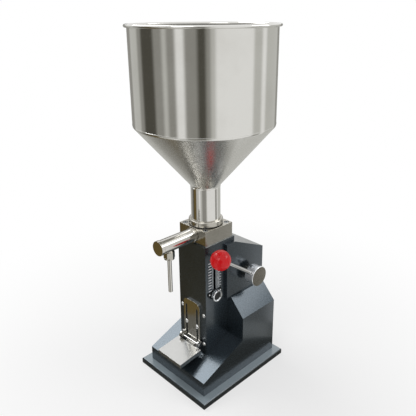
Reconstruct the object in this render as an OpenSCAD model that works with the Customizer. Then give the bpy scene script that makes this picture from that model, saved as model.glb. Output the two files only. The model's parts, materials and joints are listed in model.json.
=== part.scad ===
// Manual paste filling machine: a bowl over a square column, a hand lever that drives
// a rack piston through two gears, a valve block with a spout, and a fold-up drip tray.
// Millimetres, +Z up, +X lever side, -Y front, origin under the middle of the base plate.

/* [Base plate and lower body] */
// Width of the base plate
base_x = 200; // [190:1:220]
// Depth of the base plate
base_y = 243; // [236:1:260]
// Thickness of the base plate
base_t = 12; // [10:0.5:16]
// Chamfer round the top edge of the base plate
base_edge = 1.5; // [0.5:0.5:3]
// Thickness of the bent sheet
sheet_t = 2; // [1.5:0.25:2.5]
// Half width of the lower body
body_half = 83; // [78:1:90]
// Front wall of the lower body
body_front_y = -105.9; // [-112:0.1:-100]
// Rear wall of the lower body and of the cover
body_rear_y = 109; // [104:1:114]
// Height of the low front wall
foot_h = 31.1; // [27:0.1:34]
// Rise of the sloping front
slope_rise = 42.6; // [39:0.1:45]
// Front wall of the rear box
box_front_y = 7.9; // [5:0.1:11]
// Height of the rear box
box_h = 162.5; // [159:0.5:165]
// Half width of the flat roof of the box
roof_half = 49.5; // [48:0.5:56]
// Drop of the bevelled roof edges
roof_drop = 36.1; // [30:0.1:42]
// Width of the turned-in bottom flange
foot_flange = 14; // [12:1:18]

/* [Column and front panel] */
// Half width of the column
column_half = 39.7; // [39.3:0.1:41.5]
// Axis of bowl, cylinder and rod
axis_y = -15.4; // [-16:0.1:-15]
// Column face ahead of that axis
column_ahead = 40.6; // [40:0.1:42]
// Column back behind that axis
column_behind = 41.4; // [40:0.1:43]
// Height of the column over the base plate
column_h = 295.6; // [292:0.1:299]
// Side and back wall of the column
column_wall = 2.5; // [2:0.25:2.75]
// Front wall of the column
column_face = 4.5; // [4:0.25:5]
// End plate on top of the column
column_top_t = 6; // [5:0.5:8]
// Half width of the window for the gears
window_half = 28; // [27:0.5:31]
// Window sill under the end plate face
window_low = 158; // [156:1:162]
// Window head under the end plate face
window_high = 42; // [36:1:44]
// Thickness of the front panel
panel_t = 2; // [1.5:0.25:2.5]
// Shadow gap along the panel's ends
panel_gap = 0.5; // [0.2:0.1:1]
// Foot of the panel over the base plate
panel_up = 50.3; // [50.3:0.1:54]
// Height of the panel
panel_h = 111.4; // [108:0.1:114]
// Panel screws from the middle
panel_screw_x = 32.6; // [31:0.1:34]
// Panel screws in from the panel's ends
panel_screw_in = 21.5; // [18:0.1:24]

/* [Upper rear cover] */
// Half width of the cover
cover_half = 46.5; // [45.5:0.5:48]
// Front edge of the cover
cover_front_y = -2; // [-4:0.5:0]
// Distance of its top below the column's top
cover_below = 9.6; // [8:0.1:12]
// Length of its flat roof
cover_flat = 24.5; // [20:0.5:26]
// Drop of its sloping roof
cover_drop = 39.5; // [34:0.5:41]
// Turned-in flange at its foot
cover_flange = 6; // [5:0.5:7]

/* [Valve block] */
// Half width of the block
block_half_x = 37.6; // [36.5:0.1:38.5]
// Half depth of the block
block_half_y = 37.1; // [36.5:0.1:37.5]
// Height of the block
block_h = 31.2; // [30:0.1:33]
// Cap screws from the axis
block_screw = 29; // [28.5:0.1:29.5]
// Shank radius of the cap screws
cap_shank_r = 2.5; // [2:0.25:2.75]
// Head radius of the cap screws
cap_head_r = 4.3; // [4:0.1:4.5]
// Head height of the cap screws
cap_head_h = 4.6; // [4:0.1:5]
// Counterbore radius
cap_recess_r = 5.2; // [4.8:0.1:5.4]
// Socket radius of the cap screws
cap_socket_r = 2.2; // [1.8:0.1:2.4]
// Radius of the spigot in the bowl neck
spigot_r = 27.8; // [27.4:0.1:28]
// Height of the spigot
spigot_h = 7.2; // [5:0.1:9]
// Lip left round the filling funnel
spigot_lip = 2; // [1.5:0.1:3]
// Radius of the inlet chamber
chamber_r = 13; // [12.5:0.1:13.5]
// Height of the inlet chamber
chamber_h = 20.9; // [20.5:0.1:21.5]
// Radius of the seat bore
seat_r = 7.5; // [7:0.1:8]
// Straight length of the seat bore
seat_land = 2; // [1.5:0.1:2.5]
// Radius of the inlet ball
inlet_ball_r = 9; // [8.8:0.1:9.2]
// Radius of the perforated disc
cage_r = 17.9; // [17.5:0.1:18.4]
// Thickness of the perforated disc
cage_t = 2.5; // [2:0.25:3]
// Holes of the disc from its middle
cage_hole_at = 9; // [8.8:0.1:9.4]
// Radius of those holes
cage_hole_r = 3.2; // [2.8:0.1:3.4]
// Radius of the passage to the pipe
passage_r = 7.5; // [7:0.1:8]

/* [Bowl] */
// Gasket thickness
gasket_t = 1.5; // [1:0.25:2]
// Clamp ring radius
ring_r = 34.2; // [33.5:0.1:35]
// Clamp ring height
ring_h = 10.2; // [9:0.1:12]
// Rounding of the clamp ring
ring_edge = 1; // [0.5:0.25:1.5]
// Bowl sheet thickness
bowl_t = 1.5; // [1:0.1:1.5]
// Outer radius of the bowl
bowl_r = 133.3; // [128:0.1:138]
// Outer radius of the neck
neck_r = 29.4; // [29.4:0.1:30]
// Height of the neck
neck_h = 79.3; // [75:0.1:84]
// Height of the cone
cone_h = 120.4; // [112:0.1:126]
// Height of the straight wall
wall_h = 174.5; // [165:0.5:182]
// Bead centre outside the wall
bead_out = 2.5; // [2.3:0.1:2.7]
// Bead radius
bead_r = 2.9; // [2.7:0.1:3.1]

/* [Cylinder and piston] */
// Bore radius of the cylinder
bore_r = 16; // [15.8:0.1:16.2]
// Wall of the cylinder
cylinder_wall = 6; // [5:0.5:6.5]
// Length of the cylinder
cylinder_len = 95.6; // [94:0.1:97]
// Flange radius of the cylinder
flange_r = 30; // [29.5:0.5:31]
// Flange thickness
flange_t = 4; // [3:0.5:5]
// Flange screws from the axis
flange_screw = 26; // [25.8:0.1:26.2]
// Crown of the piston under the cylinder mouth
crown_drop = 50; // [48:0.5:52]
// Length of the piston
piston_len = 22; // [20:0.5:24]
// Height of a piston seal
seal_h = 3; // [2.5:0.1:3.5]
// Depth of the seal grooves
seal_depth = 2.5; // [2:0.1:3]
// Seals in from the piston's ends
seal_in = 3; // [2.5:0.1:4]
// Radius of the piston rod
rod_r = 10; // [9.8:0.1:10.2]
// Length of the piston rod
rod_len = 187.6; // [185:0.1:190]
// Radius of the rod's spigot
rod_spigot_r = 6; // [5:0.1:7]
// Length of the rod's spigot
rod_spigot = 12; // [10:0.5:14]
// Guide bush centre under the end plate face
guide_drop = 194.6; // [193:0.1:196]
// Length of the guide bush
guide_len = 18; // [16:0.5:19]
// Wall of the guide bush
guide_wall = 4; // [3:0.25:5]
// Thickness of the guide plate
guide_plate_t = 8; // [6:0.5:10]
// Height of the crosshead
cross_h = 8; // [6:0.5:9]
// Wall of the crosshead round the rod
cross_wall = 5; // [4:0.5:6]
// Stop rod from the axis, sideways
stop_x = 30; // [29.5:0.1:30.5]
// Stop rod ahead of the axis
stop_ahead = 28.6; // [28.3:0.1:28.9]
// Radius of the stop rod
stop_r = 3; // [2.5:0.1:3.2]
// Length of the stop rod
stop_len = 202; // [195:1:203]

/* [Rack and gears] */
// Tooth size
gear_module = 2; // [2:0.05:2]
// Teeth of the drive gear
drive_teeth = 33; // [32:1:34]
// Teeth of the idler gear
idler_teeth = 24; // [24:1:25]
// Width of the teeth
gear_face = 14; // [12:0.5:16]
// Flank angle
pressure_angle = 20; // [18:0.5:22]
// Play between two flanks
backlash = 0.35; // [0.3:0.05:0.5]
// Flat on the rod over the tooth tips
rack_flat = 1; // [1:0.05:1.1]
// Tooth gaps above the idler
gaps_above = 5; // [5:1:6]
// Tooth gaps below the idler
gaps_below = 9; // [9:1:9]
// Lever shaft behind the middle
shaft_y = 60.3; // [60:0.1:62]
// Lever shaft under the end plate face
shaft_drop = 92.1; // [91:0.1:93]
// Radius of the lever shaft
shaft_r = 8; // [7.5:0.1:8.4]
// Hub radius of the drive gear
drive_hub_r = 14; // [13:0.5:16]
// Hub radius of the idler gear
idler_hub_r = 9; // [8.5:0.1:9.5]
// Lightening holes from the gear's middle
light_at = 21.5; // [21:0.1:22]
// Radius of those holes
light_r = 4; // [3:0.25:4.5]
// Side and height of the key
key_side = 5; // [4:0.5:5.5]
// Radius of the idler pin
idler_pin_r = 5; // [4.5:0.1:5.3]
// Inner face of the frame plates
frame_in = 20; // [19:0.5:20.5]
// Thickness of the frame plates
frame_t = 6; // [5:0.5:6]
// Half depth of the frame plates
frame_half = 20; // [18:0.5:21]
// Radius of the frame's nose
nose_r = 9; // [8:0.5:9]
// Bush wall
bush_wall = 3; // [2.5:0.25:4]
// Bush flange thickness
bush_flange_t = 1.5; // [1:0.25:1.5]
// Bush flange beyond the body
bush_flange = 2; // [1.5:0.25:3]

/* [Lever] */
// Inner face of the hub
hub_in_x = 58; // [57:0.5:60]
// Length of the hub
hub_len = 22; // [21:0.5:24]
// Radius of the hub
hub_r = 20.5; // [19.5:0.1:21]
// Radius of the end disc
disc_r = 21.8; // [21.4:0.1:22.5]
// Thickness of the end disc
disc_t = 3.5; // [3:0.25:4]
// Chamfer of the end disc
disc_edge = 1; // [0.5:0.25:1.5]
// Front skin over the blind bore
hub_skin = 6; // [5:0.5:7]
// Radius of the shaft collar
collar_r = 10.5; // [10:0.1:12]
// Lever angle over the horizontal
lever_angle = 35.2; // [33:0.1:38]
// Lever length to the ball's middle
lever_len = 129; // [124:0.5:134]
// Radius of the lever rod
lever_rod_r = 4; // [3.5:0.1:4.5]
// Ball radius
knob_ball_r = 20.2; // [19.6:0.1:20.4]
// Depth of the rod in hub and ball
rod_seat = 10; // [8:0.5:11]
// Set screw angle over the horizontal
set_angle = 70; // [66:1:80]
// Radius of the set screw head
set_r = 3.2; // [3:0.1:3.5]
// Head of the set screw over the hub
set_out = 3; // [2:0.25:3.5]

/* [Outlet] */
// Pipe axis over the block's foot
outlet_up = 15.4; // [15.2:0.1:15.6]
// Outer radius of the pipe
pipe_r = 14; // [13.6:0.1:14.4]
// Inner radius of the pipe
pipe_bore_r = 11; // [10.8:0.1:11.2]
// Length of the pipe before the block
pipe_len = 80; // [77:0.5:83]
// Radius of the pipe's spigot
pipe_spigot_r = 12.5; // [12.2:0.1:12.8]
// Length of the pipe's spigot
pipe_spigot = 8; // [7:0.5:8.5]
// Lock ring from the block
lock_gap = 1.9; // [1.5:0.1:2.5]
// Lock ring width
lock_w = 3; // [2.5:0.25:3.5]
// Lock ring radius
lock_r = 15.2; // [14.8:0.1:15.3]
// End cap radius
cap_r = 14.8; // [14.4:0.1:15.4]
// End cap width
cap_w = 7; // [6:0.25:8]
// End cap spigot
cap_spigot = 8; // [6:0.5:9]
// Spout from the block
spout_ahead = 60.3; // [59.5:0.1:61]
// Radius of the spout's threaded stub
stub_r = 7.5; // [7.2:0.1:7.7]
// Bore of the stub
stub_bore_r = 5; // [4.6:0.1:5.2]
// Stub end under the pipe axis
stub_drop = 25; // [24:0.1:26]
// Across the flats of the nut
nut_flats = 19; // [18.6:0.1:20]
// Nut top under the pipe axis
nut_top = 14.6; // [14.6:0.1:15]
// Skin of the nut's flange
nut_skin = 2.5; // [2:0.25:3]
// Nut foot under the pipe axis
nut_foot = 30; // [29.6:0.1:31]
// Radius of the nut's flange
nut_flange_r = 10; // [9.5:0.1:10.5]
// Spout tube radius
spout_r = 4.2; // [4:0.1:4.4]
// Spout tube bore
spout_bore_r = 3; // [2.6:0.1:3.2]
// Spout end under the pipe axis
spout_drop = 101.7; // [98:0.1:106]
// Spout collar thickness
spout_collar = 1.4; // [1.2:0.1:1.6]
// Valve seat from the block
valve_at = 5.5; // [5.2:0.1:5.8]
// Valve seat width
valve_w = 4; // [3.5:0.1:4.5]
// Valve seat bore
valve_r = 6; // [5.6:0.1:6.2]
// Valve ball radius
valve_ball_r = 8; // [7.8:0.1:8.2]
// Valve ball travel
valve_lift = 6; // [5:0.1:6]
// Spring stem radius
stem_r = 3; // [2.6:0.1:3.4]
// Spring stem disc from the pipe's end
stem_disc_in = 34; // [33.5:0.1:34.5]
// Spring stem disc radius
stem_disc_r = 8; // [7.6:0.1:8.2]
// Spring coil mean radius
spring_r = 5.5; // [5.2:0.1:5.6]
// Spring wire radius
spring_wire = 0.6; // [0.5:0.05:0.7]
// Spring turns
spring_turns = 5; // [4:1:6]

/* [Volume stop] */
// Slot centre ahead of the axis
slot_ahead = 16.4; // [16.2:0.1:16.6]
// Half width of the slot
slot_half = 3.2; // [3.2:0.1:3.4]
// Slot foot under the end plate face
slot_low = 115.6; // [115.6:0.1:117]
// Slot head under the end plate face
slot_high = 39.6; // [39:0.1:40]
// Bezel beyond the slot sideways
bezel_side = 3.05; // [2.5:0.05:3.5]
// Bezel beyond the slot lengthways
bezel_end = 6; // [4:0.5:8]
// Bezel thickness
bezel_t = 0.5; // [0.3:0.1:0.6]
// Stud radius
stud_r = 3; // [2.7:0.1:3]
// Stud under the end plate face at rest
stud_drop = 111.6; // [111.4:0.1:112]
// Half height of the stop block
stop_half_h = 7; // [6:0.5:8]
// Inner face of the stop block
stop_in = 24; // [23.5:0.1:25]
// Pointer thickness
pointer_t = 1.2; // [1:0.1:1.2]
// Pointer bar half height
pointer_half_h = 3.5; // [3:0.1:4]
// Pointer bar over the stud
pointer_up = 5; // [4.5:0.1:5.5]
// Pointer reach ahead of the stud
pointer_ahead = 18.7; // [18:0.1:19.5]
// Pointer reach behind the stud
pointer_behind = 18.4; // [17.5:0.1:19]
// Pointer boss radius
pointer_boss_r = 9; // [8:0.1:10]
// Rivets in from the pointer's ends
rivet_in = 3.3; // [3:0.1:3.8]
// Rivet radius
rivet_r = 1.9; // [1.6:0.1:2.2]
// Washer thickness
washer_t = 0.6; // [0.5:0.1:0.7]
// Knob radius
dial_r = 12.5; // [12:0.1:13]
// Knob width
dial_w = 7.8; // [7:0.1:7.8]
// Radius of the knob's dished face
dish_r = 9.5; // [9:0.1:10]
// Depth of the dished face
dish_d = 1.5; // [1:0.1:1.8]
// Radius of the knob's flutes
flute_r = 0.9; // [0.7:0.1:1]

/* [Drip tray] */
// Half width of the bracket
bracket_half = 24; // [23.6:0.1:24.2]
// Foot of the bracket over the base plate
bracket_up = 63; // [62:0.5:65]
// Height of the bracket
bracket_h = 100.5; // [99:0.5:103]
// Thickness of the bracket
bracket_t = 3.9; // [3.5:0.1:4]
// Rounding of the bracket's head
bracket_round = 11; // [9:0.5:12]
// Slots from the middle
slide_x = 16; // [15.8:0.1:16.2]
// Half width of the slots
slide_half = 2.5; // [2.3:0.1:2.6]
// Slots in from the bracket's foot
slide_in = 7; // [6:0.5:7]
// Length of the slots
slide_len = 80; // [79:0.5:83]
// Slot screws over the bracket's foot
slide_screw = 45; // [44.5:0.1:46]
// Slot screw head radius
slide_head_r = 4.6; // [4.4:0.1:4.7]
// Slot screw head height
slide_head_h = 3; // [2.6:0.1:3.2]
// Screw shank radius
screw_r = 2; // [1.8:0.1:2.1]
// Hinge pin ahead of the bracket face
hinge_ahead = 5; // [4.8:0.1:5.2]
// Hinge pin over the bracket's foot
hinge_up = 8; // [7.6:0.1:8.4]
// Hinge pin radius
hinge_r = 2; // [1.8:0.1:2.2]
// Hinge lug radius
lug_r = 4; // [3.8:0.1:4]
// Hinge lug width
lug_w = 2.7; // [2.4:0.1:2.7]
// Ear radius
ear_r = 8.6; // [8.2:0.1:8.6]
// Ear width
ear_w = 2.4; // [2:0.1:3]
// Half width of the tray
tray_half = 35; // [34:0.5:38]
// Rear edge of the tray ahead of the pin
tray_rear = 3; // [2.8:0.1:3.2]
// Rear edge of the tray under the pin
tray_under = 6; // [5.8:0.1:6.1]
// Length of the tray
tray_len = 56.8; // [54:0.1:60]
// Tilt of the tray
tray_tilt = 5.8; // [5.5:0.1:6]
// Tray sheet thickness
tray_t = 1.5; // [1.2:0.1:1.6]
// Depth of the tray's flanges
tray_flange = 9; // [8:0.1:9]
// Half width of the stop tongue
tongue_half = 12; // [10:0.5:13]

/* [Screws and clearances] */
// Base screws from the middle, sideways
foot_screw_x = 74; // [73:0.5:75]
// Base screws from the middle, lengthways
foot_screw_y = 85; // [82:1:88]
// Countersunk head radius
csk_r = 5; // [4.5:0.1:5.5]
// Domed head radius
dome_r = 4.4; // [4:0.1:4.8]
// Domed head height
dome_h = 2.6; // [2.2:0.1:2.8]
// Thread play at a screw or stud
thread_gap = 0.05; // [0.04:0.01:0.08]
// Running play of a shaft
run_gap = 0.08; // [0.06:0.01:0.1]
// Gap between flat neighbours
slip = 0.1; // [0.05:0.01:0.15]
// Gap beside a moving face
side_gap = 0.3; // [0.2:0.05:0.35]

/* [Hidden] */
$fn = 64;
over = 1;
big = base_x;
body_top = base_t + box_h;
foot_top = base_t + foot_h;
slope_top = foot_top + slope_rise;
column_front = axis_y - column_ahead;
column_rear = axis_y + column_behind;
column_top = base_t + column_h;
wall_x = column_half - column_wall;
cell_front = column_front + column_face;
cell_rear = column_rear - column_wall;
cell_top = column_top - column_top_t;
panel_low = base_t + panel_up;
panel_top = panel_low + panel_h;
cover_top = column_top - cover_below;
cap_reach = cap_shank_r * 2.2;
block_front = axis_y - block_half_y;
block_top = column_top + block_h;
chamber_low = column_top + cage_t;
chamber_top = chamber_low + chamber_h;
neck_foot = block_top + gasket_t;
cone_foot = neck_foot + neck_h;
seam_z = cone_foot + cone_h;
rim_z = seam_z + wall_h;
seam_rise = bowl_t * (norm([bowl_r - neck_r, cone_h]) - cone_h) / (bowl_r - neck_r);
cylinder_r = bore_r + cylinder_wall;
cylinder_low = column_top - cylinder_len;
crown_z = column_top - crown_drop;
piston_foot = crown_z - piston_len;
piston_r = bore_r - run_gap;
rod_low = piston_foot - rod_len;
guide_z = column_top - guide_drop;
pitch_y = axis_y + rod_r - rack_flat - gear_module;
idler_r = gear_module * idler_teeth / 2;
drive_r = gear_module * drive_teeth / 2;
shaft_z = column_top - shaft_drop;
idler_y = pitch_y + idler_r;
reach = drive_r + idler_r;
idler_z = shaft_z - sqrt(reach * reach - (shaft_y - idler_y) * (shaft_y - idler_y));
mesh_angle = atan2(shaft_z - idler_z, shaft_y - idler_y);
drive_phase = mesh_angle + 180 - (180 - mesh_angle) * idler_teeth / drive_teeth + 180 / drive_teeth;
tooth_pitch = PI * gear_module;
frame_out = frame_in + frame_t;
shaft_end = hub_in_x + hub_len - hub_skin - slip * 2;
clip_x = frame_out + bush_flange_t + side_gap;
clip_t = washer_t * 2;
clip_r = shaft_r * 0.86;
lever_x = hub_in_x + (hub_len - disc_t) * 0.69;
lever_dir = [-cos(lever_angle), sin(lever_angle)];
ball_y = shaft_y + lever_len * lever_dir[0];
ball_z = shaft_z + lever_len * lever_dir[1];
pipe_z = column_top + outlet_up;
pipe_front = block_front - pipe_len;
spout_y = block_front - spout_ahead;
stub_end = pipe_z - stub_drop;
valve_y = block_front - valve_at;
seat_face = valve_y - valve_w;
valve_ball_y = seat_face - sqrt(valve_ball_r * valve_ball_r - valve_r * valve_r) - slip * 2;
stem_y = pipe_front + stem_disc_in;
stem_tip = valve_ball_y - valve_ball_r - valve_lift - stem_r;
touch = valve_ball_r + spring_wire;
spring_rear = valve_ball_y - sqrt(touch * touch - spring_r * spring_r) - slip;
spring_front = stem_y + spring_wire + slip;
slot_y = axis_y - slot_ahead;
stud_z = column_top - stud_drop;
slot_foot = column_top - slot_low;
slot_head = column_top - slot_high;
pointer_x = column_half + bezel_t + slip * 2;
washer_x = pointer_x + pointer_t;
dial_x = washer_x + washer_t;
stop_y = axis_y - stop_ahead;
bracket_back = column_front - slip;
bracket_face = bracket_back - bracket_t;
bracket_foot = base_t + bracket_up;
bracket_top = bracket_foot + bracket_h;
screw_z = bracket_foot + slide_screw;
hinge_y = bracket_face - hinge_ahead;
hinge_z = bracket_foot + hinge_up;
ear_in = bracket_half + side_gap * 2;
ear_out = ear_in + ear_w;
tray_y = hinge_y - tray_rear;
tray_z = hinge_z - tray_under;

// Inward offset of a closed outline given counter-clockwise
function inset(p, t) = [for (i = [0:len(p) - 1])
  let (a = p[(i + len(p) - 1) % len(p)], b = p[i], c = p[(i + 1) % len(p)],
    d = (b - a) / norm(b - a), e = (c - b) / norm(c - b),
    m = [-d[1], d[0]], n = [-e[1], e[0]])
  b + t * (m + n) / (1 + m * n)];
function backwards(p) = [for (i = [len(p) - 1:-1:0]) p[i]];

module slab(x0, x1, y0, y1, z0, z1) translate([x0, y0, z0]) cube([x1 - x0, y1 - y0, z1 - z0]);
module bar_x(x0, x1, y, z, r) translate([x0, y, z]) rotate([0, 90, 0]) cylinder(h = x1 - x0, r = r);
module bar_y(y0, y1, x, z, r) translate([x, y1, z]) rotate([90, 0, 0]) cylinder(h = y1 - y0, r = r);
module bar_z(z0, z1, x, y, r) translate([x, y, z0]) cylinder(h = z1 - z0, r = r);
module plate_x(x0, x1, p) translate([x0, 0, 0]) rotate([90, 0, 90]) linear_extrude(x1 - x0) polygon(p);
module plate_y(y0, y1, p) translate([0, y1, 0]) rotate([90, 0, 0]) linear_extrude(y1 - y0) polygon(p);
module sides() for (s = [-1, 1]) scale([s, 1, 1]) children();
module corners(a) for (s = [-a, a], t = [-a, a]) translate([s, axis_y + t, 0]) children();

// Base plate with its screws
module base_form(edge) {
  h = base_t;
  intersection() {
    plate_y(-base_y, base_y, [[-base_x / 2, 0], [base_x / 2, 0], [base_x / 2, h - edge],
      [base_x / 2 - edge, h], [edge - base_x / 2, h], [-base_x / 2, h - edge]]);
    plate_x(-base_x, base_x, [[-base_y / 2, 0], [base_y / 2, 0], [base_y / 2, h - edge],
      [base_y / 2 - edge, h], [edge - base_y / 2, h], [-base_y / 2, h - edge]]);
  }
}
module foot_places() for (s = [-foot_screw_x, foot_screw_x], t = [-foot_screw_y, foot_screw_y])
  translate([s, t, 0]) children();
module base_plate() color("#1b1d20") difference() {
  base_form(base_edge);
  foot_places() {
    bar_z(-over, base_t + over, 0, 0, screw_r + thread_gap);
    bar_z(-over, csk_r - screw_r + over, 0, 0, csk_r + thread_gap);
  }
  frame_places() bar_z(-over, base_t + over, 0, 0, screw_r + thread_gap);
  frame_places() bar_z(-over, dome_h + slip * 2, 0, 0, dome_r + slip);
}
module base_screws() color("#8b9096") foot_places() difference() {
  union() {
    bar_z(slip, base_t + sheet_t + screw_r, 0, 0, screw_r);
    bar_z(slip, csk_r - screw_r + over, 0, 0, csk_r);
  }
  translate([0, 0, -over]) cylinder(h = over + screw_r, r = screw_r, $fn = 6);
}

// Sheet housings
module body_form(t) intersection() {
  plate_x(-big, big, inset([[body_rear_y, base_t], [body_rear_y, body_top], [box_front_y, body_top],
    [box_front_y, slope_top], [body_front_y, foot_top], [body_front_y, base_t]], t));
  plate_y(-big, big, inset([[-body_half, base_t], [body_half, base_t],
    [body_half, body_top - roof_drop], [roof_half, body_top], [-roof_half, body_top],
    [-body_half, body_top - roof_drop]], t));
}
module lower_body() color("#33373c") difference() {
  body_form(0);
  body_form(sheet_t);
  slab(foot_flange - body_half, body_half - foot_flange, body_front_y + foot_flange,
    body_rear_y - foot_flange, base_t - over, base_t + sheet_t + over);
  slab(-column_half - slip, column_half + slip, column_front - slip, column_rear + slip,
    base_t + sheet_t, body_top + over);
  slab(sheet_t + cover_flange - cover_half, cover_half - sheet_t - cover_flange, column_rear,
    body_rear_y - sheet_t - cover_flange, body_top - sheet_t - over, body_top + over);
  foot_places() bar_z(base_t - over, base_t + sheet_t + over, 0, 0, screw_r + thread_gap);
  cover_places() bar_z(body_top - sheet_t - over, body_top + over, 0, 0, screw_r + thread_gap);
}
module upper_rear_cover() color("#33373c") difference() {
  p = [[body_rear_y, body_top], [body_rear_y, cover_top - cover_drop],
    [cover_front_y + cover_flat, cover_top], [cover_front_y, cover_top], [cover_front_y, body_top]];
  plate_x(-cover_half, cover_half, p);
  plate_x(sheet_t - cover_half, cover_half - sheet_t, inset(p, sheet_t));
  slab(sheet_t + cover_flange - cover_half, cover_half - sheet_t - cover_flange,
    cover_front_y + sheet_t + cover_flange, body_rear_y - sheet_t - cover_flange,
    body_top - over, body_top + sheet_t + over);
  slab(-column_half - slip, column_half + slip, cover_front_y - over, column_rear + slip,
    body_top - over, cover_top + over);
  bar_x(0, cover_half + over, shaft_y, shaft_z, shaft_r * 1.2);
  cover_places() bar_z(body_top - over, body_top + sheet_t + over, 0, 0, screw_r + thread_gap);
}
module cover_places() for (s = [-1, 1], t = [0.35, 0.85])
  translate([s * (cover_half - sheet_t - cover_flange / 2), body_rear_y * t, 0]) children();
module cover_screws() color("#8b9096") cover_places() {
  bar_z(body_top - sheet_t - dome_h / 2, body_top + sheet_t + screw_r, 0, 0, screw_r);
  bar_z(body_top - sheet_t - dome_h, body_top - sheet_t, 0, 0, screw_r * 1.4);
}

// Column with its panel and volume slot
module slot_form(x0, x1, grow, grow_end) {
  y0 = slot_y - slot_half - grow;
  y1 = slot_y + slot_half + grow;
  if (grow > 0) slab(x0, x1, y0, y1, slot_foot - grow_end, slot_head + grow_end);
  else {
    slab(x0, x1, y0, y1, slot_foot + slot_half, slot_head - slot_half);
    for (z = [slot_foot + slot_half, slot_head - slot_half]) bar_x(x0, x1, slot_y, z, slot_half);
  }
}
module panel_places() for (s = [-panel_screw_x, panel_screw_x],
    z = [panel_low + panel_screw_in, panel_top - panel_screw_in]) translate([s, 0, z]) children();
module slide_places() for (s = [-slide_x, slide_x]) translate([s, 0, screw_z]) children();
module column() color("#33373c") difference() {
  slab(-column_half, column_half, column_front, column_rear, base_t, column_top);
  slab(-wall_x, wall_x, cell_front, cell_rear, base_t - over, cell_top);
  slab(-column_half - over, column_half + over, column_front - over, column_front + panel_t,
    panel_low - panel_gap, panel_top + panel_gap);
  slab(-window_half, window_half, cell_rear - over, column_rear + over,
    column_top - window_low, column_top - window_high);
  slot_form(wall_x - over, column_half + over, 0, 0);
  bar_z(cell_top - over, column_top + over, 0, axis_y, cylinder_r + thread_gap);
  corners(block_screw) bar_z(cell_top - over, column_top + over, 0, 0, cap_shank_r + thread_gap);
  corners(flange_screw * sqrt(0.5)) bar_z(cell_top - over, column_top - over, 0, 0,
    screw_r + thread_gap);
  panel_places() bar_y(column_front - over, cell_front + over, 0, 0, screw_r + thread_gap);
  slide_places() bar_y(column_front - over, cell_front + over, 0, 0, screw_r + thread_gap);
}
module front_panel() color("#33373c") difference() {
  slab(-column_half, column_half, column_front, column_front + panel_t, panel_low, panel_top);
  panel_places() bar_y(column_front - over, column_front + panel_t + over, 0, 0,
    screw_r + thread_gap);
  slide_places() bar_y(column_front - over, column_front + panel_t + over, 0, 0,
    screw_r + thread_gap);
}
module dome(r, h) {
  s = (r * r + h * h) / (2 * h);
  intersection() {
    translate([0, 0, h - s]) sphere(s);
    cylinder(h = h, r = r + over);
  }
}
module front_panel_screws() color("#b9bdc2") panel_places() translate([0, column_front, 0])
  difference() {
    union() {
      rotate([90, 0, 0]) dome(dome_r, dome_h);
      bar_y(-over / 2, column_face, 0, 0, screw_r);
    }
    translate([0, -over, 0]) rotate([90, 0, 0]) cylinder(h = dome_h, r = screw_r * 0.9, $fn = 6);
  }
module slot_bezel() color("#9aa1a8") difference() {
  slot_form(column_half, column_half + bezel_t, bezel_side, bezel_end);
  slot_form(column_half - over, column_half + bezel_t + over, 0, 0);
}

// Metering cylinder, piston and rack rod
module cylinder_screws() color("#8b9096") corners(flange_screw * sqrt(0.5)) {
  bar_z(cell_top - flange_t - over, cell_top + column_top_t / 2, 0, 0, screw_r);
  bar_z(cell_top - flange_t - dome_h, cell_top - flange_t, 0, 0, screw_r * 1.6);
}
module cylinder_barrel() color("#c3c7cb") difference() {
  union() {
    bar_z(cylinder_low, column_top, 0, axis_y, cylinder_r);
    bar_z(cell_top - flange_t, cell_top, 0, axis_y, flange_r);
  }
  bar_z(cylinder_low - over, column_top + over, 0, axis_y, bore_r);
  corners(flange_screw * sqrt(0.5)) bar_z(cell_top - flange_t - over, cell_top + over, 0, 0,
    screw_r + thread_gap);
}
module seal_rings(r, grow) for (z = [piston_foot + seal_in, crown_z - seal_in - seal_h])
  difference() {
    bar_z(z - grow, z + seal_h + grow, 0, axis_y, r);
    bar_z(z - over, z + seal_h + over, 0, axis_y, piston_r - seal_depth);
  }
module piston() color("#c3c7cb") difference() {
  bar_z(piston_foot, crown_z, 0, axis_y, piston_r);
  seal_rings(piston_r + over, 0);
  bar_z(piston_foot - over, piston_foot + rod_spigot + slip, 0, axis_y, rod_spigot_r + thread_gap);
}
module piston_seals() color("#15171a") seal_rings(piston_r, -slip / 2);
function gap_outline(z) = let (w = tooth_pitch / 4 + backlash / 4,
    d = gear_module * 1.25, t = tan(pressure_angle), u = gear_module + over)
  [[pitch_y - d, z - w + d * t], [pitch_y + u, z - w - u * t],
    [pitch_y + u, z + w + u * t], [pitch_y - d, z + w - d * t]];
module piston_rod() color("#b4b8bd") difference() {
  union() {
    bar_z(rod_low, piston_foot, 0, axis_y, rod_r);
    bar_z(piston_foot, piston_foot + rod_spigot, 0, axis_y, rod_spigot_r);
  }
  slab(-rod_r - over, rod_r + over, pitch_y + gear_module, pitch_y + rod_r,
    idler_z - (gaps_below + 0.5) * tooth_pitch, idler_z + (gaps_above + 0.5) * tooth_pitch);
  for (k = [-gaps_below:gaps_above])
    plate_x(-rod_r - over, rod_r + over, gap_outline(idler_z + k * tooth_pitch));
}
module crosshead() color("#8b9096") {
  a = rod_r + cross_wall;
  b = stop_r * 2;
  difference() {
    translate([0, 0, rod_low]) linear_extrude(cross_h) polygon([[-a, axis_y - a],
      [stop_x - b, stop_y - b], [stop_x + b, stop_y - b], [stop_x + b, stop_y + b],
      [a, axis_y + a], [-a, axis_y + a]]);
    bar_z(rod_low - over, rod_low + cross_h + over, 0, axis_y, rod_r + thread_gap);
    bar_z(rod_low - over, rod_low + cross_h + over, stop_x, stop_y, stop_r + thread_gap);
  }
}
module stop_rod() color("#b4b8bd") bar_z(rod_low, rod_low + stop_len, stop_x, stop_y, stop_r);
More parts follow.
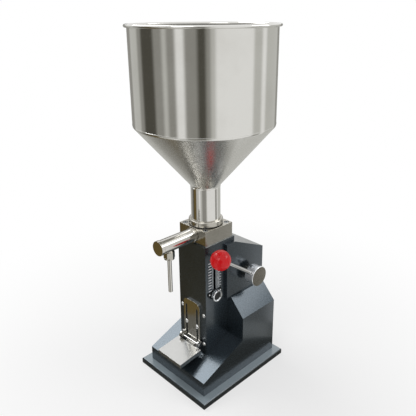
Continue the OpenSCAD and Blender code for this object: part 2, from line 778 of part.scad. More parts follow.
module guide_plate() color("#8b9096") difference() {
  slab(-wall_x, wall_x, cell_front, cell_rear, guide_z - guide_plate_t / 2, guide_z + guide_plate_t / 2);
  bar_z(guide_z - guide_plate_t, guide_z + guide_plate_t, 0, axis_y, rod_r + guide_wall + thread_gap);
  bar_z(guide_z - guide_plate_t, guide_z + guide_plate_t, stop_x, stop_y, stop_r + side_gap);
}
module guide_bush() color("#b08a3e") difference() {
  union() {
    bar_z(guide_z - guide_len / 2, guide_z + guide_len / 2, 0, axis_y, rod_r + guide_wall);
    bar_z(guide_z + guide_plate_t / 2, guide_z + guide_plate_t / 2 + bush_flange_t, 0, axis_y,
      rod_r + guide_wall + bush_flange);
  }
  bar_z(guide_z - guide_len, guide_z + guide_len, 0, axis_y, rod_r + run_gap);
}

// Gears with true flanks, drawn in the YZ plane
function flank_half(r, n) = let (p = gear_module * n / 2, b = p * cos(pressure_angle),
    a = pressure_angle, c = r > b ? acos(b / r) : 0,
    s = tooth_pitch / 2 - backlash / 2)
  (s / (2 * p) + tan(a) - tan(c)) * 180 / PI - a + c;
function tooth(n, at) = let (p = gear_module * n / 2, b = p * cos(pressure_angle),
    rs = [p - gear_module * 1.25, b, (b + p) / 2, p, p + gear_module / 3, p + gear_module * 2 / 3,
      p + gear_module])
  concat([for (r = rs) let (h = flank_half(r, n)) r * [cos(at - h), sin(at - h)]],
    [for (r = backwards(rs)) let (h = flank_half(r, n)) r * [cos(at + h), sin(at + h)]]);
function gear_outline(n, at) = [for (k = [0:n - 1], q = tooth(n, at + k * 360 / n)) q];
module gear_blank(y, z, n, at) translate([-gear_face / 2, y, z]) rotate([90, 0, 90])
  linear_extrude(gear_face) polygon(gear_outline(n, at));
module idler_gear() color("#7f858b") difference() {
  union() {
    gear_blank(idler_y, idler_z, idler_teeth, 180);
    bar_x(side_gap - frame_in, frame_in - side_gap, idler_y, idler_z, idler_hub_r);
  }
  bar_x(-frame_in, frame_in, idler_y, idler_z, idler_pin_r + run_gap);
}
module drive_gear() color("#7f858b") difference() {
  union() {
    gear_blank(shaft_y, shaft_z, drive_teeth, drive_phase);
    bar_x(side_gap - frame_in, frame_in - side_gap, shaft_y, shaft_z, drive_hub_r);
  }
  bar_x(-frame_in, frame_in, shaft_y, shaft_z, shaft_r + thread_gap);
  for (k = [0:5]) translate([0, shaft_y, shaft_z]) rotate([k * 60 + 30, 0, 0])
    bar_x(-gear_face, gear_face, light_at, 0, light_r);
  key_form(gear_face, slip / 2);
}
module key_form(half, grow) slab(-half, half, shaft_y - key_side / 2 - grow,
  shaft_y + key_side / 2 + grow, shaft_z + shaft_r - key_side / 2 - grow,
  shaft_z + shaft_r + key_side / 2 + grow);
module shaft_key() color("#8b9096") key_form(gear_face * 0.9, 0);
module lever_shaft() color("#b4b8bd") difference() {
  bar_x(-clip_x - clip_t * 2, shaft_end, shaft_y, shaft_z, shaft_r);
  key_form(gear_face, slip / 2);
  difference() {
    bar_x(-clip_x - clip_t - slip / 2, slip / 2 - clip_x, shaft_y, shaft_z, shaft_r + over);
    bar_x(-clip_x - clip_t * 2, 0, shaft_y, shaft_z, clip_r);
  }
}
module shaft_clip() color("#8b9096") difference() {
  bar_x(-clip_x - clip_t, -clip_x, shaft_y, shaft_z, shaft_r + bush_wall);
  bar_x(-clip_x - clip_t - over, over - clip_x, shaft_y, shaft_z, clip_r + thread_gap);
}
module shaft_bushes() color("#b08a3e") sides() difference() {
  union() {
    bar_x(frame_in, frame_out, shaft_y, shaft_z, shaft_r + bush_wall);
    bar_x(frame_out, frame_out + bush_flange_t, shaft_y, shaft_z, shaft_r + bush_wall + bush_flange);
  }
  bar_x(frame_in - over, frame_out + bush_flange_t + over, shaft_y, shaft_z, shaft_r + run_gap);
}
module idler_pin() color("#b4b8bd")
  bar_x(-frame_out - slip, frame_out + slip, idler_y, idler_z, idler_pin_r);
module frame_places() for (s = [-1, 1], t = [-1, 1])
  translate([s * frame_in / 2, shaft_y + t * frame_half / 2, 0]) children();
module gear_frame() color("#4a4f55") {
  y0 = shaft_y - frame_half;
  difference() {
    union() {
      sides() {
        slab(frame_in, frame_out, y0, shaft_y + frame_half, base_t, shaft_z);
        bar_x(frame_in, frame_out, shaft_y, shaft_z, frame_half);
        bar_x(frame_in, frame_out, idler_y, idler_z, nose_r);
        plate_x(frame_in, frame_out, [[idler_y, idler_z - nose_r], [y0 + over, idler_z - nose_r * 2],
          [y0 + over, idler_z + nose_r * 1.5], [idler_y, idler_z + nose_r]]);
      }
      slab(-frame_out, frame_out, y0, shaft_y + frame_half, base_t, base_t + frame_t);
      slab(-frame_out, frame_out, shaft_y, shaft_y + frame_half, body_top - frame_in * 2,
        body_top - frame_in * 2 + frame_t);
    }
    bar_x(-big, big, shaft_y, shaft_z, shaft_r + bush_wall + thread_gap);
    bar_x(-big, big, idler_y, idler_z, idler_pin_r + thread_gap);
    frame_places() bar_z(base_t - over, base_t + frame_t + over, 0, 0, screw_r + thread_gap);
  }
}
module frame_screws() color("#8b9096") frame_places() {
  bar_z(slip * 2, dome_h, 0, 0, dome_r);
  bar_z(slip * 2, base_t + frame_t + over, 0, 0, screw_r);
}

// Lever outside the cover
module along_lever(r) translate([lever_x, shaft_y, shaft_z]) rotate([-lever_angle, 0, 0])
  translate([0, -r, 0]) children();
module shaft_collar() color("#4a4f55") difference() {
  bar_x(cover_half + side_gap, hub_in_x - slip, shaft_y, shaft_z, collar_r);
  bar_x(cover_half, hub_in_x, shaft_y, shaft_z, shaft_r + thread_gap);
}
module lever_hub() color("#8d8f90") {
  x1 = hub_in_x + hub_len;
  difference() {
    union() {
      bar_x(hub_in_x, x1 - disc_t, shaft_y, shaft_z, hub_r);
      bar_x(x1 - disc_t, x1 - disc_edge, shaft_y, shaft_z, disc_r);
      translate([x1 - disc_edge, shaft_y, shaft_z]) rotate([0, 90, 0])
        cylinder(h = disc_edge, r1 = disc_r, r2 = disc_r - disc_edge);
    }
    bar_x(hub_in_x - over, x1 - hub_skin, shaft_y, shaft_z, shaft_r + thread_gap);
    along_lever(hub_r + over) slab(-lever_rod_r * 2, (x1 - disc_t - lever_x), -big / 8,
      over * 2, -lever_rod_r * 2, lever_rod_r * 2);
    along_lever(big) bar_y(0, big - hub_r + rod_seat, 0, 0, lever_rod_r + thread_gap);
    set_form(set_r * 0.7 + thread_gap, -over);
  }
}
module set_form(r, out) translate([hub_in_x + hub_len / 4, shaft_y, shaft_z])
  rotate([-set_angle, 0, 0]) bar_y(-hub_r - max(out, 0) - (out < 0 ? big / 8 : 0),
    -shaft_r - side_gap, 0, 0, r);
module hub_set_screw() color("#8b9096") difference() {
  union() {
    set_form(set_r * 0.7, set_out / 2);
    translate([hub_in_x + hub_len / 4, shaft_y, shaft_z]) rotate([-set_angle, 0, 0])
      bar_y(-hub_r - set_out, -hub_r, 0, 0, set_r);
  }
  translate([hub_in_x + hub_len / 4, shaft_y, shaft_z]) rotate([-set_angle, 0, 0])
    translate([0, -hub_r - set_out + set_r / 2, 0]) rotate([90, 0, 0])
      cylinder(h = set_out, r = set_r / 2, $fn = 6);
}
module lever_rod() color("#c9ccd0") along_lever(lever_len - knob_ball_r + rod_seat - slip * 2)
  bar_y(0, lever_len - knob_ball_r + rod_seat * 2 - hub_r - slip * 4, 0, 0, lever_rod_r);
module lever_ball() color("#c4232a") difference() {
  translate([lever_x, ball_y, ball_z]) sphere(knob_ball_r);
  along_lever(lever_len - knob_ball_r + rod_seat) bar_y(0, rod_seat + knob_ball_r / 2, 0, 0,
    lever_rod_r + thread_gap);
}

// Valve block and bowl
module valve_block() color("#8a8d8f") difference() {
  union() {
    slab(-block_half_x, block_half_x, block_front, axis_y + block_half_y, column_top, block_top);
    bar_z(block_top - over, block_top + spigot_h, 0, axis_y, spigot_r);
  }
  bar_z(column_top - over, chamber_low, 0, axis_y, cage_r + slip);
  bar_z(chamber_low - over, chamber_top, 0, axis_y, chamber_r);
  bar_z(chamber_top - over, block_top, 0, axis_y, seat_r);
  translate([0, axis_y, chamber_top + seat_land]) cylinder(
    h = block_top + spigot_h - chamber_top - seat_land + slip, r1 = seat_r, r2 = spigot_r - spigot_lip);
  bar_y(block_front - over, axis_y - chamber_r + over, 0, pipe_z, passage_r);
  bar_y(block_front - over, block_front + pipe_spigot + slip, 0, pipe_z, pipe_spigot_r + thread_gap);
  corners(block_screw) {
    bar_z(column_top - over, block_top, 0, 0, cap_shank_r + thread_gap);
    bar_z(block_top - cap_head_h - slip * 2, block_top + over, 0, 0, cap_recess_r);
  }
}
module valve_block_screws() color("#5d6266") corners(block_screw) difference() {
  union() {
    bar_z(column_top - cap_reach, block_top - cap_head_h, 0, 0, cap_shank_r);
    bar_z(block_top - cap_head_h - slip, block_top - slip, 0, 0, cap_head_r);
  }
  translate([0, 0, block_top - cap_head_h / 2]) cylinder(h = cap_head_h, r = cap_socket_r, $fn = 6);
}
module inlet_cage() color("#c3c7cb") difference() {
  bar_z(column_top, chamber_low, 0, axis_y, cage_r);
  for (k = [0:5]) bar_z(column_top - over, chamber_low + over, cage_hole_at * cos(k * 60),
    axis_y + cage_hole_at * sin(k * 60), cage_hole_r);
}
module inlet_ball() color("#c9ccd0") translate([0, axis_y, chamber_low + inlet_ball_r + slip * 2])
  sphere(inlet_ball_r);
module neck_gasket() color("#15171a") difference() {
  bar_z(block_top, neck_foot, 0, axis_y, ring_r - ring_edge / 2);
  bar_z(block_top - over, neck_foot + over, 0, axis_y, spigot_r + slip);
}
module revolved(p) translate([0, axis_y, 0]) rotate_extrude() polygon(p);
module neck_ring() color("#c3c7cb") revolved([[neck_r + thread_gap, neck_foot],
  [ring_r - ring_edge / 2, neck_foot], [ring_r, neck_foot + ring_edge / 2],
  [ring_r, neck_foot + ring_h - ring_edge], [ring_r - ring_edge, neck_foot + ring_h],
  [neck_r + thread_gap, neck_foot + ring_h]]);
module hopper_neck() color("#b4b8bd") revolved([[neck_r - bowl_t, neck_foot],
  [neck_r, neck_foot], [neck_r, cone_foot], [neck_r - bowl_t, cone_foot]]);
module hopper_cone() color("#b4b8bd") revolved([[neck_r - bowl_t, cone_foot],
  [neck_r, cone_foot], [bowl_r, seam_z], [bowl_r, seam_z + seam_rise],
  [bowl_r - bowl_t, seam_z + seam_rise], [neck_r - bowl_t, cone_foot + seam_rise]]);
module hopper_wall() color("#b4b8bd") {
  revolved([[bowl_r - bowl_t, seam_z + seam_rise], [bowl_r, seam_z + seam_rise],
    [bowl_r, rim_z], [bowl_r - bowl_t, rim_z]]);
  translate([0, axis_y, 0]) rotate_extrude() translate([bowl_r + bead_out, rim_z]) circle(bead_r);
}

// Pipe, check valve and spout
module outlet_tube() color("#c3c7cb") difference() {
  union() {
    bar_y(pipe_front, block_front, 0, pipe_z, pipe_r);
    bar_y(block_front - over, block_front + pipe_spigot, 0, pipe_z, pipe_spigot_r);
    bar_z(stub_end, pipe_z, 0, spout_y, stub_r);
  }
  bar_y(pipe_front - over, valve_y, 0, pipe_z, pipe_bore_r);
  bar_y(pipe_front - over, block_front + pipe_spigot + over, 0, pipe_z, valve_ball_r);
  bar_z(stub_end - over, pipe_z, 0, spout_y, stub_bore_r);
}
module outlet_collar() color("#c3c7cb") difference() {
  bar_y(block_front - lock_gap - lock_w, block_front - lock_gap, 0, pipe_z, lock_r);
  bar_y(block_front - lock_gap - lock_w - over, block_front, 0, pipe_z, pipe_r + thread_gap);
}
module outlet_seat() color("#b4b8bd") difference() {
  bar_y(seat_face, valve_y, 0, pipe_z, pipe_bore_r - thread_gap);
  bar_y(seat_face - over, valve_y + over, 0, pipe_z, valve_r);
}
module outlet_ball() color("#c9ccd0") translate([0, valve_ball_y, pipe_z]) sphere(valve_ball_r);
module outlet_end_cap() color("#c3c7cb") {
  bar_y(pipe_front - cap_w, pipe_front, 0, pipe_z, cap_r);
  bar_y(pipe_front - over, pipe_front + cap_spigot, 0, pipe_z, pipe_bore_r - thread_gap);
  bar_y(pipe_front, stem_tip, 0, pipe_z, stem_r);
  bar_y(stem_y - sheet_t, stem_y, 0, pipe_z, stem_disc_r);
}
module outlet_spring() color("#b4b8bd") {
  n = spring_turns * 12;
  p = [for (i = [0:n]) let (a = i * 30, y = spring_rear + (spring_front - spring_rear) * i / n)
    for (j = [0:5]) let (r = spring_r + spring_wire * cos(j * 60))
      [r * cos(a), y + spring_wire * sin(j * 60), pipe_z + r * sin(a)]];
  polyhedron(p, concat([[for (j = [5:-1:0]) j]], [[for (j = [0:5]) n * 6 + j]],
    [for (i = [0:n - 1], j = [0:5]) let (k = (j + 1) % 6)
      [i * 6 + j, i * 6 + k, i * 6 + 6 + k]], [for (i = [0:n - 1], j = [0:5]) let (k = (j + 1) % 6)
      [i * 6 + j, i * 6 + 6 + k, i * 6 + 6 + j]]));
}
module outlet_nut() color("#8a8d8f") difference() {
  union() {
    translate([0, spout_y, pipe_z - nut_foot + nut_skin]) cylinder(h = nut_foot - nut_skin - nut_top,
      r = nut_flats / sqrt(3), $fn = 6);
    bar_z(pipe_z - nut_foot, pipe_z - nut_foot + nut_skin + over, 0, spout_y, nut_flange_r);
  }
  bar_z(pipe_z - nut_foot + nut_skin, pipe_z, 0, spout_y, stub_r + thread_gap);
  bar_z(pipe_z - nut_foot - over, pipe_z, 0, spout_y, spout_r + thread_gap * 2);
}
module nozzle_seal() color("#15171a") difference() {
  bar_z(pipe_z - nut_foot + nut_skin + spout_collar, stub_end, 0, spout_y, stub_r - slip);
  bar_z(pipe_z - nut_foot, stub_end + over, 0, spout_y, spout_bore_r);
}
module nozzle() color("#c9ccd0") difference() {
  union() {
    bar_z(pipe_z - spout_drop, pipe_z - nut_foot + nut_skin + over, 0, spout_y, spout_r);
    bar_z(pipe_z - nut_foot + nut_skin, pipe_z - nut_foot + nut_skin + spout_collar, 0, spout_y,
      stub_r - slip);
  }
  bar_z(pipe_z - spout_drop - over, pipe_z, 0, spout_y, spout_bore_r);
}

// Volume stop with its pointer and knob
module stop_block() color("#8b9096") difference() {
  slab(stop_in, wall_x - slip, stop_y - stop_r - bush_flange, slot_y + pointer_boss_r * 0.8,
    stud_z - stop_half_h, stud_z + stop_half_h);
  bar_z(stud_z - stop_half_h - over, stud_z + stop_half_h + over, stop_x, stop_y, stop_r + side_gap);
  bar_x(stop_in - over, column_half, slot_y, stud_z, stud_r + thread_gap);
}
module volume_stud() color("#b4b8bd")
  bar_x(stop_in, dial_x + dial_w - dish_d - over, slot_y, stud_z, stud_r);
module pointer_ends(r, x0, x1) for (y = [slot_y - pointer_ahead + rivet_in,
    slot_y + pointer_behind - rivet_in]) bar_x(x0, x1, y, stud_z + pointer_up, r);
module volume_pointer() color("#4a4f55") difference() {
  union() {
    slab(pointer_x, pointer_x + pointer_t, slot_y - pointer_ahead, slot_y + pointer_behind,
      stud_z + pointer_up - pointer_half_h, stud_z + pointer_up + pointer_half_h);
    bar_x(pointer_x, pointer_x + pointer_t, slot_y, stud_z, pointer_boss_r);
  }
  bar_x(pointer_x - over, pointer_x + pointer_t + over, slot_y, stud_z, stud_r + thread_gap);
  pointer_ends(rivet_r / 2 + thread_gap, pointer_x - over, pointer_x + pointer_t + over);
}
module pointer_rivets() color("#d2d5d8") {
  pointer_ends(rivet_r / 2, pointer_x, pointer_x + pointer_t + slip);
  for (y = [slot_y - pointer_ahead + rivet_in, slot_y + pointer_behind - rivet_in])
    translate([pointer_x + pointer_t, y, stud_z + pointer_up]) rotate([0, 90, 0])
      dome(rivet_r, rivet_r / 2);
}
module volume_washer() color("#c3c7cb") difference() {
  bar_x(washer_x, dial_x, slot_y, stud_z, stud_r * 2);
  bar_x(washer_x - over, dial_x + over, slot_y, stud_z, stud_r + thread_gap);
}
module volume_knob() color("#8a8d8f") {
  n = 24;
  difference() {
    bar_x(dial_x + slip, dial_x + dial_w, slot_y, stud_z, dial_r);
    bar_x(dial_x + dial_w - dish_d, dial_x + dial_w + over, slot_y, stud_z, dish_r);
    bar_x(dial_x - over, dial_x + dial_w - dish_d - slip, slot_y, stud_z, stud_r + run_gap);
    for (k = [0:n - 1]) translate([0, slot_y, stud_z]) rotate([k * 360 / n, 0, 0])
      bar_x(dial_x, dial_x + dial_w + over, dial_r + flute_r / 4, 0, flute_r);
  }
}

// Drip tray on its slotted bracket
module tray_bracket() color("#c9ccd0") difference() {
  union() {
    slab(-bracket_half, bracket_half, bracket_face, bracket_back, bracket_foot,
      bracket_top - bracket_round);
    slab(bracket_round - bracket_half, bracket_half - bracket_round, bracket_face, bracket_back,
      bracket_foot, bracket_top);
    sides() bar_y(bracket_face, bracket_back, bracket_half - bracket_round,
      bracket_top - bracket_round, bracket_round);
    sides() {
      x1 = bracket_half - side_gap;
      bar_x(x1 - lug_w, x1, hinge_y, hinge_z, lug_r);
      slab(x1 - lug_w, x1, hinge_y, bracket_face + over, hinge_z - lug_r, hinge_z + lug_r);
    }
  }
  sides() {
    slab(slide_x - slide_half, slide_x + slide_half, bracket_face - over, bracket_back + over,
      bracket_foot + slide_in + slide_half, bracket_foot + slide_in + slide_len - slide_half);
    for (z = [slide_in + slide_half, slide_in + slide_len - slide_half])
      bar_y(bracket_face - over, bracket_back + over, slide_x, bracket_foot + z, slide_half);
  }
  bar_x(-bracket_half - over, bracket_half + over, hinge_y, hinge_z, hinge_r + thread_gap);
}
module bracket_screws() color("#d2d5d8") slide_places() difference() {
  union() {
    bar_y(bracket_face - slip - over, cell_front, 0, 0, screw_r);
    translate([0, bracket_face - slip, 0]) rotate([90, 0, 0]) dome(slide_head_r, slide_head_h);
  }
  translate([0, bracket_face - over * 2, 0]) rotate([90, 0, 0])
    cylinder(h = slide_head_h, r = screw_r, $fn = 6);
}
module tray_hinge_pin() color("#d2d5d8") {
  x1 = ear_out + side_gap;
  bar_x(-x1 - over / 2, x1 + over / 2, hinge_y, hinge_z, hinge_r);
  sides() bar_x(x1, x1 + over * 1.5, hinge_y, hinge_z, hinge_r * 1.6);
}
module tray() color("#c8c8c8") difference() {
  union() {
    translate([0, tray_y, tray_z]) rotate([tray_tilt, 0, 0]) {
      slab(-tray_half, tray_half, -tray_len, 0, -tray_t, 0);
      slab(-tray_half, tray_half, -tray_len, tray_t - tray_len, -tray_flange, 0);
      sides() slab(tray_half - tray_t, tray_half, -tray_len, 0, -tray_flange, 0);
      slab(-tongue_half, tongue_half, -over, tray_rear + hinge_ahead - side_gap, -tray_t, 0);
    }
    sides() bar_x(ear_in, ear_out, hinge_y, hinge_z, ear_r);
  }
  bar_x(-ear_out - over, ear_out + over, hinge_y, hinge_z, hinge_r + run_gap);
}

base_plate();
base_screws();
lower_body();
column();
front_panel();
front_panel_screws();
upper_rear_cover();
cover_screws();
slot_bezel();
cylinder_barrel();  // cylinder
cylinder_screws();
valve_block();
valve_block_screws();
inlet_cage();
inlet_ball();
neck_gasket();
neck_ring();
hopper_neck();
hopper_cone();
hopper_wall();
outlet_tube();
outlet_collar();
outlet_seat();
outlet_ball();
outlet_spring();
outlet_end_cap();
outlet_nut();
nozzle_seal();
nozzle();
guide_plate();
guide_bush();
gear_frame();
frame_screws();
shaft_bushes();
idler_pin();
idler_gear();
drive_gear();
lever_shaft();
shaft_key();
shaft_clip();
shaft_collar();
lever_hub();
hub_set_screw();
lever_rod();
lever_ball();
piston();
piston_seals();
piston_rod();
crosshead();
stop_rod();
stop_block();
volume_stud();
volume_pointer();
pointer_rivets();
volume_washer();
volume_knob();
tray_bracket();
bracket_screws();
tray_hinge_pin();
tray();
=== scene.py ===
"""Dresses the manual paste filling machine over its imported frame.

Every piece is in metres in the frame's own axes: +Z up, +X the lever side and -Y the
front. Sizes of pieces are in mm and become metres where a form is made.
"""

from __future__ import annotations

import json
import logging
import math
from dataclasses import dataclass, field
from enum import Enum
from typing import Callable, Sequence

import bmesh
import bpy
from bpy.types import Material, MeshPolygon, Node, NodeSocket, NodeTree, Object
from mathutils import Matrix, Vector

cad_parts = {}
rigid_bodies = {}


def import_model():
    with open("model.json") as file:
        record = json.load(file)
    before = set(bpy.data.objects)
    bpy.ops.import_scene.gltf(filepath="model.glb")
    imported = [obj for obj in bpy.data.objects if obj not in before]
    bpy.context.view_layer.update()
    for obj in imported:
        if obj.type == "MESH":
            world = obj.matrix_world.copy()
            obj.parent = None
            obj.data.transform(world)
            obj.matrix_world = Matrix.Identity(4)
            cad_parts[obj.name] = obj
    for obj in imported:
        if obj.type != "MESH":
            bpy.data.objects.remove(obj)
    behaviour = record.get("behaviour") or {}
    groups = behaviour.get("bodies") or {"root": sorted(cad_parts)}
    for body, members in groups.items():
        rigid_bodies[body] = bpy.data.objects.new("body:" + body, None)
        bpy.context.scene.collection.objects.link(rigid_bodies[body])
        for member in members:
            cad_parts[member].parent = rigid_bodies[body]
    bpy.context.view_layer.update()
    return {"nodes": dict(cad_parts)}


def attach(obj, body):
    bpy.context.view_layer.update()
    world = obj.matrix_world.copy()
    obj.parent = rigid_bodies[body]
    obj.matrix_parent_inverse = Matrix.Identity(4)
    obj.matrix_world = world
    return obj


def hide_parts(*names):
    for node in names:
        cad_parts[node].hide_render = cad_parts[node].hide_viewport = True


log = logging.getLogger("paste_filler")

Outline = tuple[tuple[float, float], ...]
"""Radius and height pairs in mm that a turned form is spun from."""

MM = 0.001
"""One millimetre in metres."""

AXIS_Y = -15.4
"""The common axis of bowl, cylinder and piston rod, in mm."""

SEAM_MM = 0.001
"""Corners of a turned form closer than this are the same corner."""

NODE_SEAM_MM = 0.002
"""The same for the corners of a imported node."""

FLAT_DEG = 0.4
"""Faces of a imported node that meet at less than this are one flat."""

SHARP_DEG = 32.0
"""Edges that turn by more than this are rounded."""

FLAT_WEIGHT = 80
"""How far a large face pulls the shading of its rounded edges towards its own."""

LEAST_ROUGHNESS = 0.02
"""The smoothest that any finish gets."""


class Body(Enum):
    """The moving groups that dressed pieces ride on."""

    FRAME = "frame"
    LEVER = "lever"
    VOLUME_STOP = "volume_stop"
    CLAMP_KNOB = "clamp_knob"
    BRACKET = "bracket"
    TRAY = "tray"


class Axis(Enum):
    """A direction of the frame about which a piece is turned."""

    X = (1.0, 0.0, 0.0)
    Z = (0.0, 0.0, 1.0)
    FRONT = (0.0, -1.0, 0.0)

    @property
    def vector(self) -> Vector:
        """The unit vector of this direction."""
        return Vector(self.value)


def mm(x: float, y: float, z: float) -> Vector:
    """Returns a point given in millimetres as metres."""
    return Vector((x, y, z)) * MM


def linear(code: str) -> tuple[float, float, float, float]:
    """Turns an sRGB colour, six hex digits after a hash, into linear light and alpha 1."""
    parts = [int(code[i : i + 2], 16) / 255 for i in (1, 3, 5)]
    flat = [c / 12.92 if c <= 0.04045 else ((c + 0.055) / 1.055) ** 2.4 for c in parts]
    return (flat[0], flat[1], flat[2], 1.0)


def add_node(tree: NodeTree, kind: str, settings: dict[str, object] | None = None,
             links: dict[str, NodeSocket] | None = None) -> Node:
    """Adds one shader node with its settings and incoming links.

    Args:
        tree: The node tree that gets the node.
        kind: The node's type name after ``ShaderNode``, such as ``TexNoise``.
        settings: Values by name; a name that is an input sets that input's default.
        links: Sockets of other nodes by the name of the input that they feed.

    Returns:
        The new node.
    """
    node = tree.nodes.new(f"ShaderNode{kind}")
    for name, value in (settings or {}).items():
        if name in node.inputs:
            node.inputs[name].default_value = value
        else:
            setattr(node, name, value)
    for name, socket in (links or {}).items():
        tree.links.new(socket, node.inputs[name])
    return node


def new_material(name: str) -> tuple[Material, NodeTree]:
    """Returns a new node material and its emptied tree."""
    material = bpy.data.materials.new(name)
    material.use_nodes = True
    material.node_tree.nodes.clear()
    return material, material.node_tree


def show(tree: NodeTree, surface: NodeSocket) -> None:
    """Ends a material's tree with the shader that shows."""
    add_node(tree, "OutputMaterial", None, {"Surface": surface})


def new_object(name: str, bm: bmesh.types.BMesh, material: Material) -> Object:
    """Returns a new object in the scene, with a mesh that uses the bmesh up."""
    mesh = bpy.data.meshes.new(name)
    mesh.materials.append(material)
    bm.to_mesh(mesh)
    bm.free()
    obj = bpy.data.objects.new(name, mesh)
    bpy.context.scene.collection.objects.link(obj)
    return obj


@dataclass(frozen=True)
class Finish:
    """One real material and the way its surface was made.

    Attributes:
        name: The finish in a maker's words.
        colour: Base colour as sRGB hex.
        roughness: Roughness in the middle of its range.
        spread: How far roughness wanders either way.
        metallic: 1 for bare metal, 0 for paint, plastic and rubber.
        grain_mm: Short side of one grain, scratch or paint cell.
        stretch: How much longer a grain is than wide, per axis.
        relief_mm: Height of the grain.
        tint: Darker colour that the large cloudy variation moves towards.
        cloud_mm: Size of that variation.
        cloud: How strongly the tint shows, 0 to 1.
        coat: Weight of a clear gloss layer.
        coat_roughness: Roughness of that layer.
        coat_ior: Refractive index of that layer.
        sheen_level: Strength of the plain surface reflection, 0.5 being glass.
        sheen_tint: Tint of that reflection as sRGB hex.
        painted_sky_sheen: How much a painted sky reflection lightens level faces, 0 to 1.
        painted_sky_sheen_colour: Colour of that painted reflection as sRGB hex.
    """

    name: str
    colour: str
    roughness: float
    spread: float = 0.05
    metallic: float = 0.0
    grain_mm: float = 1.0
    stretch: tuple[float, float, float] = (1.0, 1.0, 1.0)
    relief_mm: float = 0.02
    tint: str = "#000000"
    cloud_mm: float = 40.0
    cloud: float = 0.0
    coat: float = 0.0
    coat_roughness: float = 0.06
    coat_ior: float = 1.5
    sheen_level: float = 0.5
    sheen_tint: str = "#ffffff"
    painted_sky_sheen: float = 0.0
    painted_sky_sheen_colour: str = "#7f8a8f"

    def mixed(self, tree: NodeTree, share: NodeSocket, first: str | NodeSocket,
              second: str) -> NodeSocket:
        """Mixes a colour into another one.

        Args:
            tree: The material's node tree.
            share: How much of the second colour shows.
            first: The first colour as sRGB hex, or the socket that gives it.
            second: The second colour as sRGB hex.

        Returns:
            The socket of the mixed colour.
        """
        # Colour sockets share their names with other sockets: they go by number.
        mix = add_node(tree, "Mix", {"data_type": "RGBA"})
        factor, one, two = (mix.inputs[i] for i in (0, 6, 7))
        two.default_value = linear(second)
        if isinstance(first, str):
            one.default_value = linear(first)
        else:
            tree.links.new(first, one)
        tree.links.new(share, factor)
        return mix.outputs[2]

    def paint_sky_sheen(self, tree: NodeTree, place: Node, colour: NodeSocket) -> NodeSocket:
        """Paints a reflection of the bright sky into the colour of the level faces."""
        facing = add_node(tree, "SeparateXYZ", None,
                          {"Vector": place.outputs["Normal"]})
        level = add_node(
            tree,
            "MapRange",
            {"From Min": 0.8, "From Max": 1.0, "To Min": 0.0, "To Max": self.painted_sky_sheen},
            {"Value": facing.outputs["Z"]},
        )
        return self.mixed(tree, level.outputs["Result"], colour, self.painted_sky_sheen_colour)

    def build(self) -> Material:
        """Makes the node material of this finish.

        Returns:
            A material whose patterns read Object coordinates, so they stay on the piece.
        """
        material, tree = new_material(self.name)
        place = add_node(tree, "TexCoord")
        stretched = add_node(tree, "Mapping", {"Scale": tuple(1 / s for s in self.stretch)},
                             {"Vector": place.outputs["Object"]})
        grain = add_node(
            tree,
            "TexNoise",
            {"Scale": 1 / (self.grain_mm * MM), "Detail": 3.0, "Roughness": 0.6},
            {"Vector": stretched.outputs["Vector"]},
        )
        clouds = add_node(
            tree,
            "TexNoise",
            {"Scale": 1 / (self.cloud_mm * MM), "Detail": 4.0, "Roughness": 0.55},
            {"Vector": place.outputs["Object"]},
        )
        tone = add_node(
            tree,
            "MapRange",
            {"From Min": 0.42, "From Max": 0.72, "To Min": 0.0, "To Max": self.cloud},
            {"Value": clouds.outputs["Fac"]},
        )
        colour = self.mixed(tree, tone.outputs["Result"], self.colour, self.tint)
        # Level faces get a painted reflection of the bright sky in their colour.
        if self.painted_sky_sheen:
            colour = self.paint_sky_sheen(tree, place, colour)
        rough = add_node(
            tree,
            "MapRange",
            {
                "From Min": 0.3,
                "From Max": 0.7,
                "To Min": max(self.roughness - self.spread, LEAST_ROUGHNESS),
                "To Max": self.roughness + self.spread,
            },
            {"Value": grain.outputs["Fac"]},
        )
        bump = add_node(
            tree,
            "Bump",
            {"Strength": 0.35, "Distance": self.relief_mm * MM},
            {"Height": grain.outputs["Fac"]},
        )
        surface = add_node(
            tree,
            "BsdfPrincipled",
            {
                "Metallic": self.metallic,
                "Coat Weight": self.coat,
                "Coat Roughness": self.coat_roughness,
                "Coat IOR": self.coat_ior,
                "Specular IOR Level": self.sheen_level,
                "Specular Tint": linear(self.sheen_tint),
            },
            {
                "Base Color": colour,
                "Roughness": rough.outputs["Result"],
                "Normal": bump.outputs["Normal"],
            },
        )
        show(tree, surface.outputs["BSDF"])
        return material


